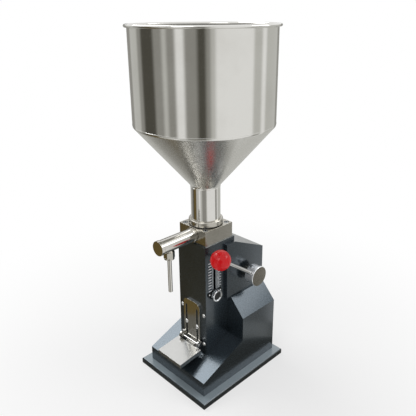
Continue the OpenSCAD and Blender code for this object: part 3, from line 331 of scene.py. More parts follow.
class Finishes:
    """All finishes of the machine, each built once when it is first asked for."""

    # Semi-gloss enamel sprayed on sheet: a shallow orange peel that softens reflections.
    ENAMEL = Finish("sprayed_enamel_anthracite", "#171d21", 0.26, 0.04, 0.0, 1.3,
                    relief_mm=0.012, tint="#22282b", cloud_mm=60.0, cloud=0.6, coat=0.6,
                    coat_roughness=0.14, coat_ior=1.55, sheen_level=1.0, sheen_tint="#bcd6ea")
    # The same enamel in black on the thick base plate: its level top paler by a painted sky
    # reflection.
    BLACK_ENAMEL = Finish("sprayed_enamel_black", "#1a2024", 0.28, 0.05, 0.0, 1.0,
                          relief_mm=0.015, tint="#1f2528", cloud_mm=50.0, cloud=0.5, coat=1.0,
                          coat_roughness=0.16, coat_ior=1.8, sheen_level=1.0,
                          sheen_tint="#bcd6ea", painted_sky_sheen=1.0, painted_sky_sheen_colour="#8c989e")
    # 304 sheet polished round the bowl: fine level lines, broad soft reflections.
    BOWL = Finish("polished_stainless_sheet", "#dddcd8", 0.1, 0.03, 1.0, 0.9,
                  (60.0, 60.0, 1.0), 0.003, "#cfcdc8", 70.0, 0.5)
    # The rolled cone of the bowl, buffed along its slope: reflections spread sideways.
    CONE = Finish("buffed_stainless_cone", "#dddcd8", 0.26, 0.04, 1.0, 0.9,
                  (1.0, 1.0, 30.0), 0.003, "#cfcdc8", 70.0, 0.5)
    # The bowl's inside, ground by hand and left satin, its colour darkened as painted shade.
    SHADED_INSIDE = Finish("ground_stainless_painted_shade", "#96958f", 0.36, 0.06, 1.0, 0.8,
                           (60.0, 60.0, 1.0), 0.006, "#87867f", 60.0, 0.5)
    # Bright drawn sheet of bracket and tray, with lengthwise polishing lines.
    BRIGHT_SHEET = Finish("bright_stainless_sheet", "#cfcdc6", 0.14, 0.04, 1.0, 0.5,
                          (1.0, 40.0, 40.0), 0.003, "#c2bfb6", 40.0, 0.4)
    # Tray top: satin ground stainless that looks pale and even.
    SATIN_SHEET = Finish("ground_stainless_sheet", "#cfcfcd", 0.2, 0.05, 1.0, 0.5,
                         (1.0, 50.0, 1.0), 0.004, "#c2c2c0", 40.0, 0.4)
    # Pipe and cap turned on a lathe: hair-fine rings across the axis.
    TURNED = Finish("turned_stainless", "#d0cec9", 0.12, 0.04, 1.0, 0.35,
                    (40.0, 1.0, 40.0), 0.003, "#c0bdb5", 40.0, 0.4)
    # Block milled from bar: short level cutter marks and a warmer grey.
    MILLED = Finish("milled_stainless", "#bfbcb4", 0.2, 0.04, 1.0, 0.5,
                    (40.0, 40.0, 1.0), 0.004, "#b1ada3", 60.0, 0.5)
    # Faces turned and left satin: a brownish grey disc with a soft sheen.
    FACED = Finish("faced_steel", "#8b877e", 0.24, 0.08, 1.0, 0.5,
                   (1.0, 1.0, 1.0), 0.01, "#6f6b62", 12.0, 0.6)
    # Cap and machine screws, bright zinc over rolled steel: small blurred glints.
    ZINC = Finish("bright_zinc_screw", "#aeb2b5", 0.28, 0.08, 1.0, 0.7,
                  relief_mm=0.008, tint="#858a8e", cloud_mm=5.0, cloud=0.5)
    # Oiled black oxide of the pointer and the knob's dish: dark, dull. In the screw sockets the
    # same dark is painted shade.
    OXIDE_AND_SOCKET_SHADE = Finish("black_oxide_and_socket_shade", "#3c3d3e", 0.34, 0.08, 1.0, 0.7,
                         relief_mm=0.01, tint="#232425", cloud_mm=6.0, cloud=0.5)
    # Chromium plated rod: nearly a mirror, faint lengthwise buffing.
    CHROME = Finish("chromium_plate", "#d6d6d6", 0.07, 0.03, 1.0, 0.5,
                    relief_mm=0.002, tint="#c4c4c4", cloud_mm=15.0, cloud=0.3)
    # Satin chromium on the turned flank of the hub: a soft bright band under each lamp.
    SATIN_CHROME = Finish("satin_chromium_plate", "#f2f4f7", 0.42, 0.06, 1.0, 0.5,
                          relief_mm=0.004, tint="#e2e5e9", cloud_mm=12.0, cloud=0.3)
    # Phenolic ball, moulded and buffed: strong red with small sharp highlights.
    PHENOLIC = Finish("red_phenolic", "#d8141b", 0.1, 0.02, 0.0, 1.2,
                      relief_mm=0.001, tint="#c81219", cloud_mm=18.0, cloud=0.5,
                      sheen_level=0.3)
    # Nitrile rubber, moulded matt: nearly no highlight.
    RUBBER = Finish("black_nitrile", "#161616", 0.6, 0.08, 0.0, 0.4, relief_mm=0.02,
                    tint="#202020", cloud_mm=8.0, cloud=0.5)
    # Bearing bronze, turned: warm rings across the axis.
    BRONZE = Finish("bearing_bronze", "#b9894a", 0.3, 0.08, 1.0, 0.4,
                    (1.0, 30.0, 30.0), 0.008, "#8a602e", 8.0, 0.6)
    # Hobbed carbon steel under an oil film: grey with a wet gloss.
    GEAR = Finish("hobbed_steel", "#8a8b8c", 0.3, 0.08, 1.0, 0.4,
                  (20.0, 1.0, 1.0), 0.008, "#5b5a55", 10.0, 0.6, coat=0.2)
    # Satin anodised aluminium of the bezel: an even, slightly dull strip.
    ANODISED = Finish("satin_anodised_aluminium", "#9fa4a8", 0.34, 0.06, 1.0, 0.35,
                      relief_mm=0.006, tint="#868b90", cloud_mm=12.0, cloud=0.4)
    # Knurled rim of the clamp knob, plated bright: a glittering ring.
    KNURLED = Finish("bright_plated_knurl", "#d3d6d9", 0.16, 0.05, 1.0, 0.5,
                     relief_mm=0.003, tint="#bfc3c7", cloud_mm=10.0, cloud=0.4)
    # White screen print of the scale on the enamel.
    INK = Finish("white_screen_print", "#e4e7ea", 0.5, 0.05, 0.0, 0.5, relief_mm=0.004,
                 tint="#d2d6da", cloud_mm=6.0, cloud=0.5)

    def __init__(self) -> None:
        """Starts with no material made."""
        self._made: dict[str, Material] = {}

    def get(self, finish: Finish) -> Material:
        """Returns the material of a finish, made on its first use."""
        if finish.name not in self._made:
            self._made[finish.name] = finish.build()
        return self._made[finish.name]


FINISHES = Finishes()


class Form:
    """A bmesh under construction, with the few shop operations that the pieces need."""

    def __init__(self) -> None:
        """Starts empty."""
        self.bm = bmesh.new()

    @classmethod
    def block(cls, low: Vector, high: Vector) -> Form:
        """Makes a box between two corners in metres."""
        form = cls()
        size = high - low
        matrix = Matrix.Translation((low + high) / 2) @ Matrix.Diagonal((*size, 1.0))
        bmesh.ops.create_cube(form.bm, size=1.0, matrix=matrix)
        return form

    @classmethod
    def turned(cls, outline: Sequence[tuple[float, float]], foot: Vector, axis: Vector,
               steps: int = 96) -> Form:
        """Spins an outline about a line, as a lathe would.

        Args:
            outline: Radius and height pairs in mm, closed from the last to the first
                unless both of those lie on the axis.
            foot: The point in metres from which heights are counted.
            axis: The direction of growing height.
            steps: Faces round the turn.

        Returns:
            A closed form with outward faces.
        """
        form = cls()
        bm = form.bm
        verts = [bm.verts.new((r * MM, 0.0, h * MM)) for r, h in outline]
        edges = [bm.edges.new(pair) for pair in zip(verts, verts[1:])]
        if outline[0][0] > 0 or outline[-1][0] > 0:
            edges.append(bm.edges.new((verts[-1], verts[0])))
        bmesh.ops.spin(bm, geom=verts + edges, cent=(0, 0, 0), axis=(0, 0, 1), dvec=(0, 0, 0),
                       angle=2 * math.pi, steps=steps, use_merge=True, use_duplicate=False)
        bmesh.ops.remove_doubles(bm, verts=bm.verts[:], dist=SEAM_MM * MM)
        bmesh.ops.recalc_face_normals(bm, faces=bm.faces[:])
        turn = Vector((0, 0, 1)).rotation_difference(axis).to_matrix().to_4x4()
        bmesh.ops.transform(bm, matrix=Matrix.Translation(foot) @ turn, verts=bm.verts[:])
        return form

    @classmethod
    def from_node(cls, node: Object) -> Form:
        """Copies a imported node's exact surface, merged and with its flats made whole."""
        form = cls()
        form.bm.from_mesh(node.data)
        bmesh.ops.remove_doubles(form.bm, verts=form.bm.verts[:], dist=NODE_SEAM_MM * MM)
        bmesh.ops.dissolve_limit(form.bm, angle_limit=math.radians(FLAT_DEG),
                                 verts=form.bm.verts[:], edges=form.bm.edges[:],
                                 use_dissolve_boundaries=False, delimit=set())
        return form

    def soften(self, width: float, segments: int = 3) -> Form:
        """Rounds the sharp edges.

        Args:
            width: Width of the rounding in mm.
            segments: Faces across the rounding.

        Returns:
            The same form.
        """
        limit = math.radians(SHARP_DEG)
        sharp = [e for e in self.bm.edges
                 if len(e.link_faces) == 2 and e.calc_face_angle(0.0) > limit]
        if sharp:
            bmesh.ops.bevel(self.bm, geom=sharp, offset=width * MM, offset_type="OFFSET",
                            affect="EDGES", segments=segments, profile=0.5, material=-1,
                            clamp_overlap=True)
        return self

    def join(self, other: Form) -> None:
        """Adds another form to this one, which uses the other up."""
        mesh = bpy.data.meshes.new("joining")
        other.bm.to_mesh(mesh)
        self.bm.from_mesh(mesh)
        bpy.data.meshes.remove(mesh)
        other.bm.free()

    def piece(self, name: str, finish: Finish, body: Body, slot: str,
              replaces: Sequence[str] = (), smooth: float = 35.0) -> Object:
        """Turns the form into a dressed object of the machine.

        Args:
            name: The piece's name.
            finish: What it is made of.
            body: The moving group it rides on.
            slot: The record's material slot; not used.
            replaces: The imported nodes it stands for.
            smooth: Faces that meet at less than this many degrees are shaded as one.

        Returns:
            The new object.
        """
        obj = new_object(name, self.bm, FINISHES.get(finish))
        mesh = obj.data
        mesh.polygons.foreach_set("use_smooth", [True] * len(mesh.polygons))
        mesh.set_sharp_from_angle(angle=math.radians(smooth))
        flat = obj.modifiers.new("flat_faces", "WEIGHTED_NORMAL")
        flat.mode = "FACE_AREA"
        flat.weight = FLAT_WEIGHT
        flat.keep_sharp = True
        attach(obj, body.value)
        if replaces:
            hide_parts(*replaces)
        log.info("%s: %d faces", name, len(mesh.polygons))
        return obj


def repaint(obj: Object, finish: Finish, where: Callable[[MeshPolygon], bool]) -> None:
    """Gives some faces of a piece a finish of their own.

    Args:
        obj: The piece.
        finish: The finish of those faces.
        where: Says of a face whether it gets the finish.
    """
    slot = len(obj.data.materials)
    obj.data.materials.append(FINISHES.get(finish))
    for face in obj.data.polygons:
        if where(face):
            face.material_index = slot


@dataclass
class Assembly:
    """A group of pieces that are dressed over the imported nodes."""

    nodes: dict[str, Object]

    def dress(self, node: str, name: str, finish: Finish, body: Body, slot: str,
              width: float, segments: int = 3) -> Object:
        """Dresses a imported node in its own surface, its edges rounded so many mm wide."""
        form = Form.from_node(self.nodes[node]).soften(width, segments)
        return form.piece(name, finish, body, slot, [node])


@dataclass
class Housing(Assembly):
    """Base plate, lower body, column, panel and rear cover: folded and sprayed sheet."""

    fold: float = 0.8
    plate_edge: float = 0.5
    panel_edge: float = 0.35

    def build(self) -> None:
        """Makes every sheet piece with its rounded folds, whose widths are in mm."""
        for name, finish, slot, width in (
            ("base_plate", Finishes.BLACK_ENAMEL, "base_paint", self.plate_edge),
            ("lower_body", Finishes.ENAMEL, "body_paint", self.fold),
            ("column", Finishes.ENAMEL, "body_paint", self.fold),
            ("front_panel", Finishes.ENAMEL, "body_paint", self.panel_edge),
            ("upper_rear_cover", Finishes.ENAMEL, "body_paint", self.fold),
        ):
            self.dress(name, f"{name}_sheet", finish, Body.FRAME, slot, width)


@dataclass
class ScaleAndKnob(Assembly):
    """The volume scale on the column's side, its bezel, pointer and clamp knob, in mm."""

    face_x: float = 39.7
    print_t: float = 0.12
    first_z: float = 208.0
    pitch: float = 6.22
    marks: int = 11
    front_mark: tuple[float, float] = (-48.0, -39.6)
    front_mark_w: float = 1.6
    rear_from: float = -23.8
    rear_long: float = -13.0
    rear_short: float = -17.5
    rear_mark_w: float = 1.1
    rear_lift: float = 0.9
    slot_y: float = -31.8
    stud_z: float = 196.0
    knob_r: float = 12.5
    knob_from: float = 42.3
    knob_to: float = 50.0
    bore_r: float = 3.1
    chamfer: float = 0.8
    rim: Outline = ((0.0, 0.9), (0.7, 0.1), (1.4, 0.0))
    """Steps of the rim's front edge: inwards from the knob's radius, back from its face."""
    dish_r: float = 9.5
    dish_d: float = 1.5
    dish_facing: float = 0.9
    dish_lip: Outline = ((0.5, 0.0), (0.0, 0.4), (-0.8, 1.5))
    """The same for the dish: outwards from its radius, back from the knob's face."""
    web: float = 0.6
    ridges: int = 60
    groove_d: float = 0.55
    rim_band: float = 0.2
    smooth_deg: float = 28.0

    def mark(self, y0: float, y1: float, z: float, thick: float) -> Form:
        """Makes one printed line between two y places at a height, all in mm."""
        return Form.block(mm(self.face_x, y0, z - thick / 2),
                          mm(self.face_x + self.print_t, y1, z + thick / 2))

    def scale(self) -> None:
        """Prints the scale: even marks ahead of the slot, long and short ones behind."""
        form = Form()
        for i in range(self.marks):
            form.join(self.mark(*self.front_mark, self.first_z + i * self.pitch,
                                self.front_mark_w))
        for i in range(self.marks * 2 - 2):
            z = self.first_z + self.rear_lift + i * self.pitch / 2
            reach = self.rear_long if i % 2 else self.rear_short
            form.join(self.mark(self.rear_from, reach, z, self.rear_mark_w))
        form.piece("scale_print", Finishes.INK, Body.FRAME, "bright_bezel")

    def knob(self) -> None:
        """Turns the clamp knob, dishes its face and presses the knurl into its rim."""
        r, width = self.knob_r, self.knob_to - self.knob_from
        bore_end = width - self.dish_d - self.web
        steps = self.ridges * 2
        outline = [(self.bore_r, 0), (r - self.chamfer, 0), (r, self.chamfer)]
        outline += [(r - inward, width - back) for inward, back in self.rim]
        outline += [(self.dish_r + outward, width - back) for outward, back in self.dish_lip]
        outline += [(0, width - self.dish_d), (0, bore_end), (self.bore_r, bore_end)]
        form = Form.turned(outline, mm(self.knob_from, self.slot_y, self.stud_z),
                           Axis.X.vector, steps)
        middle = mm(0, self.slot_y, self.stud_z)
        for v in form.bm.verts:
            out = Vector((0, v.co.y - middle.y, v.co.z - middle.z))
            if out.length > (r - self.rim_band) * MM:
                turn = math.atan2(out.z, out.y) / (2 * math.pi) * steps
                if round(turn) % 2:
                    v.co -= out.normalized() * self.groove_d * MM

        def in_dish(face: MeshPolygon) -> bool:
            """Says whether a face lies in the dish of the knob's front."""
            out = Vector((0, face.center.y - middle.y, face.center.z - middle.z))
            return face.normal.x > self.dish_facing and out.length < self.dish_r * MM

        knob = form.piece("clamp_knob_turned", Finishes.KNURLED, Body.CLAMP_KNOB,
                          "bright_bezel", ["volume_knob"], self.smooth_deg)
        repaint(knob, Finishes.OXIDE_AND_SOCKET_SHADE, in_dish)

    def build(self) -> None:
        """Makes the bezel, the scale, the pointer and the knob."""
        self.dress("slot_bezel", "slot_bezel_strip", Finishes.ANODISED, Body.FRAME,
                   "bright_bezel", width=0.15, segments=2)
        self.dress("volume_pointer", "pointer_plate", Finishes.OXIDE_AND_SOCKET_SHADE,
                   Body.VOLUME_STOP, "block_steel", width=0.3, segments=2)
        self.scale()
        self.knob()


@dataclass
class Bowl:
    """The stainless bowl with rolled rim, its neck ring and gasket, in mm."""

    steps: int = 192
    neck_out: float = 29.4
    neck_in: float = 27.9
    wall_out: float = 133.3
    wall_in: float = 131.8
    gasket_z: float = 338.8
    foot_z: float = 340.3
    cone_foot_z: float = 418.0
    cone_top_z: float = 541.0
    inside_r: float = 132.5
    lip_z: float = 711.4
    inner_lip_z: float = 713.0
    bead_mid: float = 135.8
    bead_r: float = 2.9
    bead_z: float = 714.5
    bead_step: int = 18
    neck_seam: Outline = (
        (29.4, 417.4), (29.7, 419.2), (30.7, 421.1))
    wall_seam: Outline = (
        (131.7, 538.2), (132.6, 539.4), (133.1, 540.6), (133.3, 542.2))
    inner_wall_seam: Outline = (
        (131.8, 542.8), (131.5, 541.2), (130.9, 539.9))
    inner_neck_seam: Outline = (
        (29.4, 422.3), (28.2, 419.8), (27.9, 417.6))
    welds: tuple[tuple[str, float, float], ...] = (
        ("neck_weld", 29.4, 416.6), ("wall_weld", 133.3, 543.2))
    """Name, radius and height of each ground bead."""
    ring_line: Outline = (
        (29.45, 0), (33.7, 0), (34.2, 0.5), (34.2, 9.0), (33.2, 10.2), (29.45, 10.2))
    gasket_line: Outline = (
        (27.95, 0), (33.6, 0), (33.9, 0.75), (33.6, 1.5), (27.95, 1.5))
    weld_line: Outline = (
        (-0.1, -0.6), (0.25, -0.25), (0.25, 0.25), (-0.1, 0.6))

    def turned(self, outline: Sequence[tuple[float, float]], z: float, steps: int) -> Form:
        """Spins an outline about the bowl's axis from a height in mm."""
        return Form.turned(outline, mm(0, AXIS_Y, z), Axis.Z.vector, steps)

    def shell(self) -> None:
        """Spins the sheet: the outside up, over the rolled rim and down the inside."""
        outer = [(self.neck_out, self.foot_z), *self.neck_seam, *self.wall_seam,
                 (self.wall_out, self.lip_z)]
        bead = []
        for degrees in range(-90, 181, self.bead_step):
            turn = math.radians(degrees)
            bead.append((self.bead_mid + self.bead_r * math.cos(turn),
                         self.bead_z + self.bead_r * math.sin(turn)))
        inner = [(self.wall_in, self.inner_lip_z), *self.inner_wall_seam, *self.inner_neck_seam,
                 (self.neck_in, self.foot_z)]

        def out_of(face: MeshPolygon) -> Vector:
            """Returns the level line from the bowl's axis to a face."""
            return Vector((face.center.x, face.center.y - AXIS_Y * MM, 0))

        def inside(face: MeshPolygon) -> bool:
            """Says whether a face belongs to the bowl's inside."""
            out = out_of(face)
            return out.length < self.inside_r * MM and face.normal.dot(out) < 0

        def on_cone(face: MeshPolygon) -> bool:
            """Says whether a face belongs to the cone's outside."""
            height = face.center.z / MM
            return self.cone_foot_z < height < self.cone_top_z and not inside(face)

        obj = self.turned(outer + bead + inner, 0, self.steps).piece(
            "bowl_sheet_metal", Finishes.BOWL, Body.FRAME, "bowl_sheet",
            ["hopper_neck", "hopper_cone", "hopper_wall"], smooth=40.0)
        # The inside takes a darker copy of the bowl's stainless: painted shade.
        repaint(obj, Finishes.SHADED_INSIDE, inside)
        repaint(obj, Finishes.CONE, on_cone)

    def ring(self) -> None:
        """Turns the clamp ring with small chamfers and the gasket under it."""
        ring = self.turned(self.ring_line, self.foot_z, steps=128)
        ring.soften(width=0.25, segments=2).piece(
            "neck_ring_turned", Finishes.MILLED, Body.FRAME, "turned_stainless", ["neck_ring"])
        self.turned(self.gasket_line, self.gasket_z, steps=96).piece(
            "neck_gasket_ring", Finishes.RUBBER, Body.FRAME, "black_rubber", ["neck_gasket"])

    def weld(self) -> None:
        """Lays the faint ground weld beads where cone meets neck and wall."""
        for name, radius, z in self.welds:
            outline = [(radius + out, up) for out, up in self.weld_line]
            self.turned(outline, z, self.steps).piece(
                name, Finishes.BOWL, Body.FRAME, "bowl_sheet")

    def build(self) -> None:
        """Makes the bowl and what holds it."""
        self.shell()
        self.ring()
        self.weld()


@dataclass
class ValveBlock(Assembly):
    """The milled block on the column with its four sunk cap screws, in mm."""

    top: float = 338.8
    screw_reach: float = 29.0
    shank: Outline = ((0, -35.0), (2.5, -35.0), (2.5, -4.7))
    head: Outline = ((4.3, -4.7), (4.3, -0.6), (3.8, -0.1), (2.5, -0.1))
    socket_r: float = 2.3
    socket_mouth: float = -0.4
    socket_floor: float = -2.3
    socket_seam: float = 0.05
    """Corners this close to the socket's radius move onto the hexagon."""
    socket_shade_reach: float = 1.1
    # Reach of the painted shade from the mouth's middle, in socket radii.
    """Reach of the dark oil from the mouth's middle, in socket radii."""

    def screw(self, foot: Vector) -> Form:
        """Turns one cap screw and presses the hexagon into its socket.

        Args:
            foot: The point of the screw's axis level with the block's top, in metres.

        Returns:
            The screw, sunk just under the block's top.
        """
        outline = [*self.shank, *self.head, (self.socket_r, self.socket_mouth),
                   (self.socket_r, self.socket_floor), (0, self.socket_floor)]
        form = Form.turned(outline, foot, Axis.Z.vector, steps=48)
        sixth = math.pi / 3
        for v in form.bm.verts:
            out = Vector((v.co.x - foot.x, v.co.y - foot.y, 0))
            if abs(out.length - self.socket_r * MM) < self.socket_seam * MM:
                turn = math.atan2(out.y, out.x) % sixth - sixth / 2
                reach = self.socket_r * MM * math.cos(sixth / 2) / math.cos(turn)
                v.co += out.normalized() * (reach - out.length)
        return form

    def screws(self) -> None:
        """Makes the cap screws, their sockets dark with painted shade."""
        heads = Form()
        places = [mm(sx * self.screw_reach, AXIS_Y + sy * self.screw_reach, self.top)
                  for sx in (-1, 1) for sy in (-1, 1)]
        for place in places:
            heads.join(self.screw(place))

        def painted_shade_socket(face: MeshPolygon) -> bool:
            """Says whether a face lies in a screw's socket."""
            near = min((face.center - place).length for place in places)
            return near < self.socket_shade_reach * self.socket_r * MM

        obj = heads.piece("cap_screw_heads", Finishes.ZINC, Body.FRAME, "zinc",
                          ["valve_block_screws"])
        # The sockets take the dark finish as painted shade in their recesses.
        repaint(obj, Finishes.OXIDE_AND_SOCKET_SHADE, painted_shade_socket)

    def build(self) -> None:
        """Makes the block and its screws."""
        self.dress("valve_block", "valve_block_milled", Finishes.MILLED, Body.FRAME,
                   "block_steel", width=0.5)
        self.screws()


@dataclass
class Outlet(Assembly):
    """The level pipe with lock ring and cap, and the spout that hangs from it, in mm."""

    axis_z: float = 323.0
    block_y: float = -52.5
    ring_ahead: float = 1.9
    ring_line: Outline = (
        (14.05, 0), (14.8, 0), (15.2, 0.4), (15.2, 2.6), (14.8, 3.0), (14.05, 3.0))
    spout_y: float = -112.8
    spout_foot: float = 221.3
    spout_line: Outline = (
        (3.0, 0), (3.9, 0), (4.2, 0.3), (4.2, 74.2), (7.4, 74.2), (7.4, 75.6), (3.0, 75.6))

    def build(self) -> None:
        """Makes pipe, ring, cap, nut and spout."""
        self.dress("outlet_tube", "outlet_pipe", Finishes.TURNED, Body.FRAME,
                   "turned_stainless", width=0.3, segments=2)
        ring_foot = mm(0, self.block_y - self.ring_ahead, self.axis_z)
        Form.turned(self.ring_line, ring_foot, Axis.FRONT.vector).piece(
            "outlet_lock_ring", Finishes.TURNED, Body.FRAME, "turned_stainless",
            ["outlet_collar"])
        self.dress("outlet_end_cap", "outlet_cap", Finishes.TURNED, Body.FRAME,
                   "turned_stainless", width=0.6)
        self.dress("outlet_nut", "outlet_union_nut", Finishes.MILLED, Body.FRAME,
                   "block_steel", width=0.5)
        spout_foot = mm(0, self.spout_y, self.spout_foot)
        Form.turned(self.spout_line, spout_foot, Axis.Z.vector, steps=64).piece(
            "spout_tube", Finishes.TURNED, Body.FRAME, "turned_stainless", ["nozzle"])


@dataclass
class Lever(Assembly):
    """Hub, rod and ball on the outside of the cover, in mm and degrees."""

    shaft_y: float = 60.3
    shaft_z: float = 215.5
    plane_x: float = 70.765
    angle: float = 35.2
    length: float = 129.0
    rod_r: float = 4.0
    rod_from: float = 10.7
    rod_length: float = 108.0
    ball_r: float = 20.2
    seat_r: float = 7.0
    """Radius of the moulded flat round the rod."""
    seat_lift: float = 0.2
    seat_chamfer: float = 0.6
    bore_gap: float = 0.05
    bore_depth: float = 8.0
    ball_steps: int = 40
    flank: float = 0.8
    """Faces of the hub that look along the shaft less than this are its flank."""

    def along(self, distance: float) -> Vector:
        """Returns the point of the rod's axis so many mm from the shaft."""
        a = math.radians(self.angle)
        return mm(self.plane_x, self.shaft_y - distance * math.cos(a),
                  self.shaft_z + distance * math.sin(a))

    def hub(self) -> None:
        """Makes the hub with its faced end and satin flank, and the collar behind it."""
        hub = self.dress("lever_hub", "lever_hub_turned", Finishes.FACED, Body.LEVER,
                         "block_steel", width=0.45)
        repaint(hub, Finishes.SATIN_CHROME, lambda face: abs(face.normal.x) < self.flank)
        self.dress("shaft_collar", "shaft_collar_turned", Finishes.FACED, Body.LEVER,
                   "block_steel", width=0.4)

    def rod(self, axis: Vector) -> None:
        """Turns the rod along the lever's axis."""
        outline = [(0, 0), (self.rod_r, 0), (self.rod_r, self.rod_length),
                   (0, self.rod_length)]
        rod = Form.turned(outline, self.along(self.rod_from), axis, steps=64)
        rod.soften(width=0.3, segments=2).piece(
            "lever_rod_bar", Finishes.CHROME, Body.LEVER, "rod_chrome", ["lever_rod"])

    def ball(self, axis: Vector) -> None:
        """Turns the ball with the flat and the bore that take the rod."""
        r = self.ball_r
        flat = -math.sqrt(r * r - self.seat_r * self.seat_r)
        bore, floor = self.rod_r + self.bore_gap, flat + self.bore_depth
        outline = [(0, floor), (bore, floor), (bore, flat),
                   (self.seat_r - self.seat_chamfer, flat), (self.seat_r, flat + self.seat_lift)]
        start = math.acos(-(flat + 2 * self.seat_lift) / r)
        for i in range(self.ball_steps):
            a = start + (math.pi - start) * i / self.ball_steps
            outline.append((r * math.sin(a), -r * math.cos(a)))
        outline.append((0, r))
        Form.turned(outline, self.along(self.length), axis).piece(
            "lever_ball_moulded", Finishes.PHENOLIC, Body.LEVER, "red_plastic",
            ["lever_ball"], smooth=50.0)

    def build(self) -> None:
        """Makes the hub, the rod and the ball."""
        axis = (self.along(1) - self.along(0)).normalized()
        self.hub()
        self.rod(axis)
        self.ball(axis)


@dataclass
class DripTray(Assembly):
    """The slotted bracket and the fold-up tray in front of the column."""


    def build(self) -> None:
        """Makes bracket, tray and hinge pin with eased edges."""
        self.dress("tray_bracket", "bracket_sheet", Finishes.BRIGHT_SHEET, Body.BRACKET,
                   "bowl_sheet", width=0.35)
        self.dress("tray", "tray_sheet", Finishes.SATIN_SHEET, Body.TRAY, "bowl_sheet",
                   width=0.4)
        self.dress("tray_hinge_pin", "hinge_pin_turned", Finishes.CHROME, Body.BRACKET,
                   "stainless", width=0.3, segments=2)


@dataclass
class KeptNodes(Assembly):
    """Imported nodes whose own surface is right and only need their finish."""

    finishes: dict[str, Finish] = field(default_factory=lambda: {
        **dict.fromkeys(("base_screws", "cover_screws", "cylinder_screws", "frame_screws",
                         "shaft_key", "shaft_clip", "crosshead", "stop_block",
                         "hub_set_screw"), Finishes.ZINC),
        **dict.fromkeys(("front_panel_screws", "bracket_screws", "pointer_rivets",
                         "volume_washer", "volume_stud", "inlet_ball", "outlet_ball",
                         "outlet_spring"), Finishes.CHROME),
        **dict.fromkeys(("cylinder", "piston", "piston_rod", "stop_rod", "lever_shaft",
                         "idler_pin", "inlet_cage", "outlet_seat"), Finishes.TURNED),
        **dict.fromkeys(("piston_seals", "nozzle_seal"), Finishes.RUBBER),
        **dict.fromkeys(("guide_bush", "shaft_bushes"), Finishes.BRONZE),
        **dict.fromkeys(("idler_gear", "drive_gear"), Finishes.GEAR),
        **dict.fromkeys(("gear_frame", "guide_plate"), Finishes.BLACK_ENAMEL),
    })

    def build(self) -> None:
        """Gives each kept node its finish."""
        for name, node in self.nodes.items():
            finish = self.finishes.get(name)
            if finish:
                node.data.materials.clear()
                node.data.materials.append(FINISHES.get(finish))
                log.info("%s: %s", name, finish.name)


class Paper(Enum):
    """The few stock papers that the studio's cards and floor strips are cut from."""

    WHITE = "#f4f4f3"
    PALE = "#c8c8c4"
    GREY = "#989792"
    DIM = "#6f6e69"
    DARK = "#525049"
    WARM = "#6b5c38"


@dataclass(frozen=True)
class Card:
    """An upright reflector card round the machine, with strips of paper on the floor.

    Attributes:
        start: Its left end, in degrees from the side where the camera stands.
        end: Its right end in degrees.
        upright: The paper of its upright part.
        foot: The paper on the floor before it.
        near: The paper on the floor close to the machine.
        under: The paper right beside the base, dark as a painted shadow of the machine on the
            floor.
    """

    start: float
    end: float
    upright: Paper
    foot: Paper
    near: Paper
    # Dark: painted shadow of the machine on the floor beside its base, as gloss sees it.
    under: Paper = Paper.DARK


@dataclass(frozen=True)
class Lamp:
    """A square soft box: its place and edge in metres and its power in watts."""

    name: str
    at: tuple[float, float, float]
    size: float
    power: float


